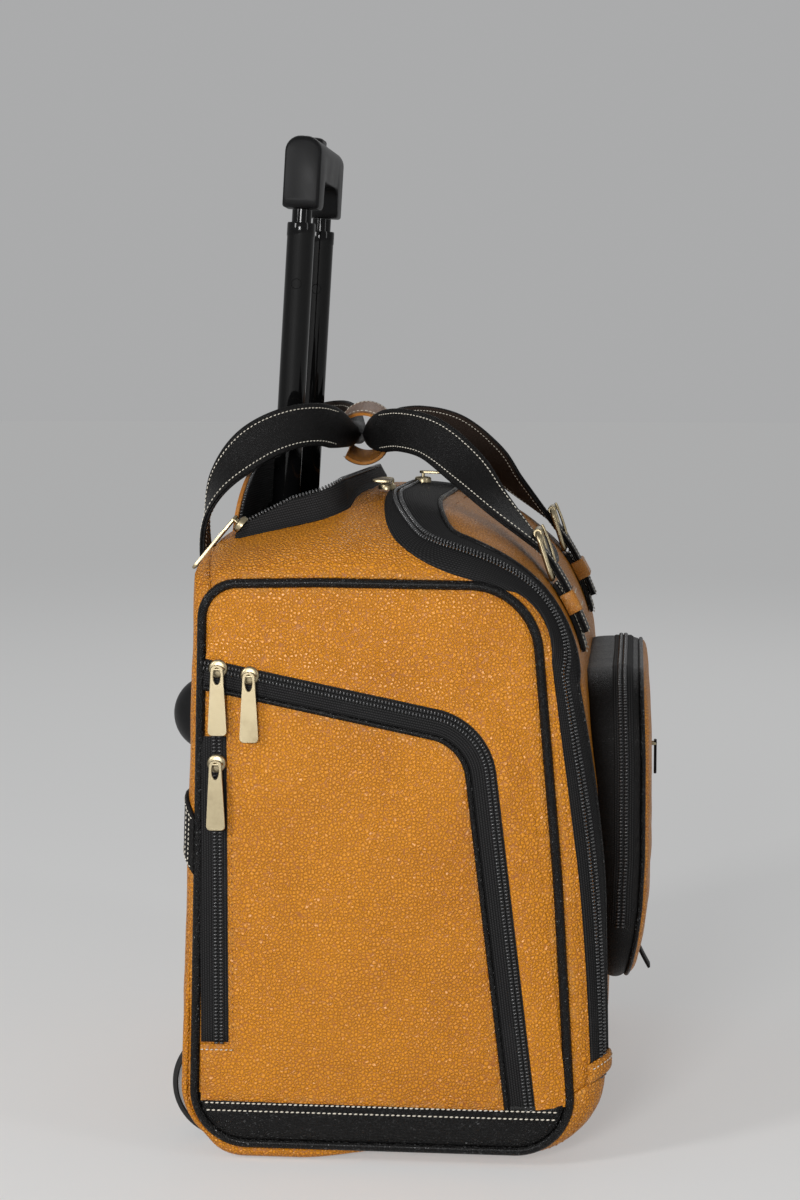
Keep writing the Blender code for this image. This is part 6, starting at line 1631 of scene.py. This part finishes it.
sewRow("backBandStitches", "case", lines, handStitch, thread)


def domeProfile(steps=14):
    r, high = rear["bumper"], rear["bumperHeight"]
    widest = acos(1 - high / r)
    rim = r * sin(widest) + rear["skirt"]
    turns = [widest * (1 - k / steps) for k in range(1, steps + 1)]
    dome = [(r * sin(turn) + axisRadius, r * cos(turn) - r + high) for turn in turns]
    return [(axisRadius, -0.0006), (rim, -0.0006), (rim, 0.0008)] + dome


def tyreProfile():
    big, half, rim = wheel["radius"], wheel["half"], wheel["rim"]
    # radius and share of the half width, with a moulding line
    side = [(big - 0.0008, 0.04), (big, 0.10), (big, 0.55), (big * 0.985, 0.82), (big * 0.955, 0.97),
            (big * 0.90, 1.0), (rim + 0.0016, 0.95), (rim + 0.0003, 0.86)]
    return [(r, -share * half) for r, share in side[::-1]] + [(r, share * half) for r, share in side]


def hubProfile():
    half, rim = wheel["half"], wheel["rim"]
    side = [(0.0034, 1.0), (0.0080, 1.0), (0.0090, 0.9), (0.0094, 0.62), (rim * 0.56, 0.50),
            (rim * 0.60, 0.70), (rim * 0.74, 0.72), (rim * 0.76, 0.56), (rim * 0.80, 0.56),
            (rim * 0.82, 0.84), (rim, 0.86)]
    return [(r, -share * half) for r, share in side] + [(r, share * half) for r, share in side[::-1]]


def footProfile(top):
    r = rear["foot"]
    return [(axisRadius, 0.0), (r * 0.72, 0.0), (r * 0.80, 0.0008), (r * 0.84, 0.0020), (r, top),
            (axisRadius, top)]


for word, way in bothSides:
    y = way * wheel["y"]
    base = np.array((backX(rear["bumperZ"]), y, rear["bumperZ"])) + backOut * rear["bumperLift"]
    piece(word + "Bumper", turnedOf(domeProfile(), base, backOut, 40), satinBlack, "case", "bumper_" + word)
    axle = (body["wheelX"], y, wheel["radius"])
    piece(word + "Tyre", turnedOf(tyreProfile(), axle, (0, 1, 0), 72), rubber, "wheel_" + word,
          "tyre_" + word)
    piece(word + "Hub", turnedOf(hubProfile(), axle, (0, 1, 0), 64), wheelGrey, "wheel_" + word,
          "hub_" + word)
    profile = footProfile(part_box("front_foot_" + word)[1].z)
    piece(word + "Foot", turnedOf(profile, (rear["footX"], y, 0.0), (0, 0, 1), 40), rubber, "case",
          "front_foot_" + word)
for node, material in (("divider", liningCloth), ("trolley_base", satinBlack), ("axle_near", steel),
                       ("axle_far", steel), ("wheel_housing_near", satinBlack),
                       ("wheel_housing_far", satinBlack)):
    materials = bpy.data.objects[node].data.materials
    materials.clear()
    materials.append(material)

# Stitch holes along the seams of the shell, and the seam at the top of the back
lines = []
for grid, normal, row in ((backGrid, backNormal, 4), (topGrid, topNormal, -5), (bottomGrid, bottomNormal, 4),
                          (backGrid, backNormal, -5)):
    lines.append((grid[row] + normal[row] * rear["seamUp"], normal[row]))
for grid, normal in ((topGrid, topNormal), (backGrid, backNormal), (bottomGrid, bottomNormal)):
    for column in (5, -6):
        lines.append((grid[:, column] + normal[:, column] * rear["seamUp"], normal[:, column]))
sewRow("seamStitches", "case", lines, holeStitch, threadAmber)
print("back and running gear done")
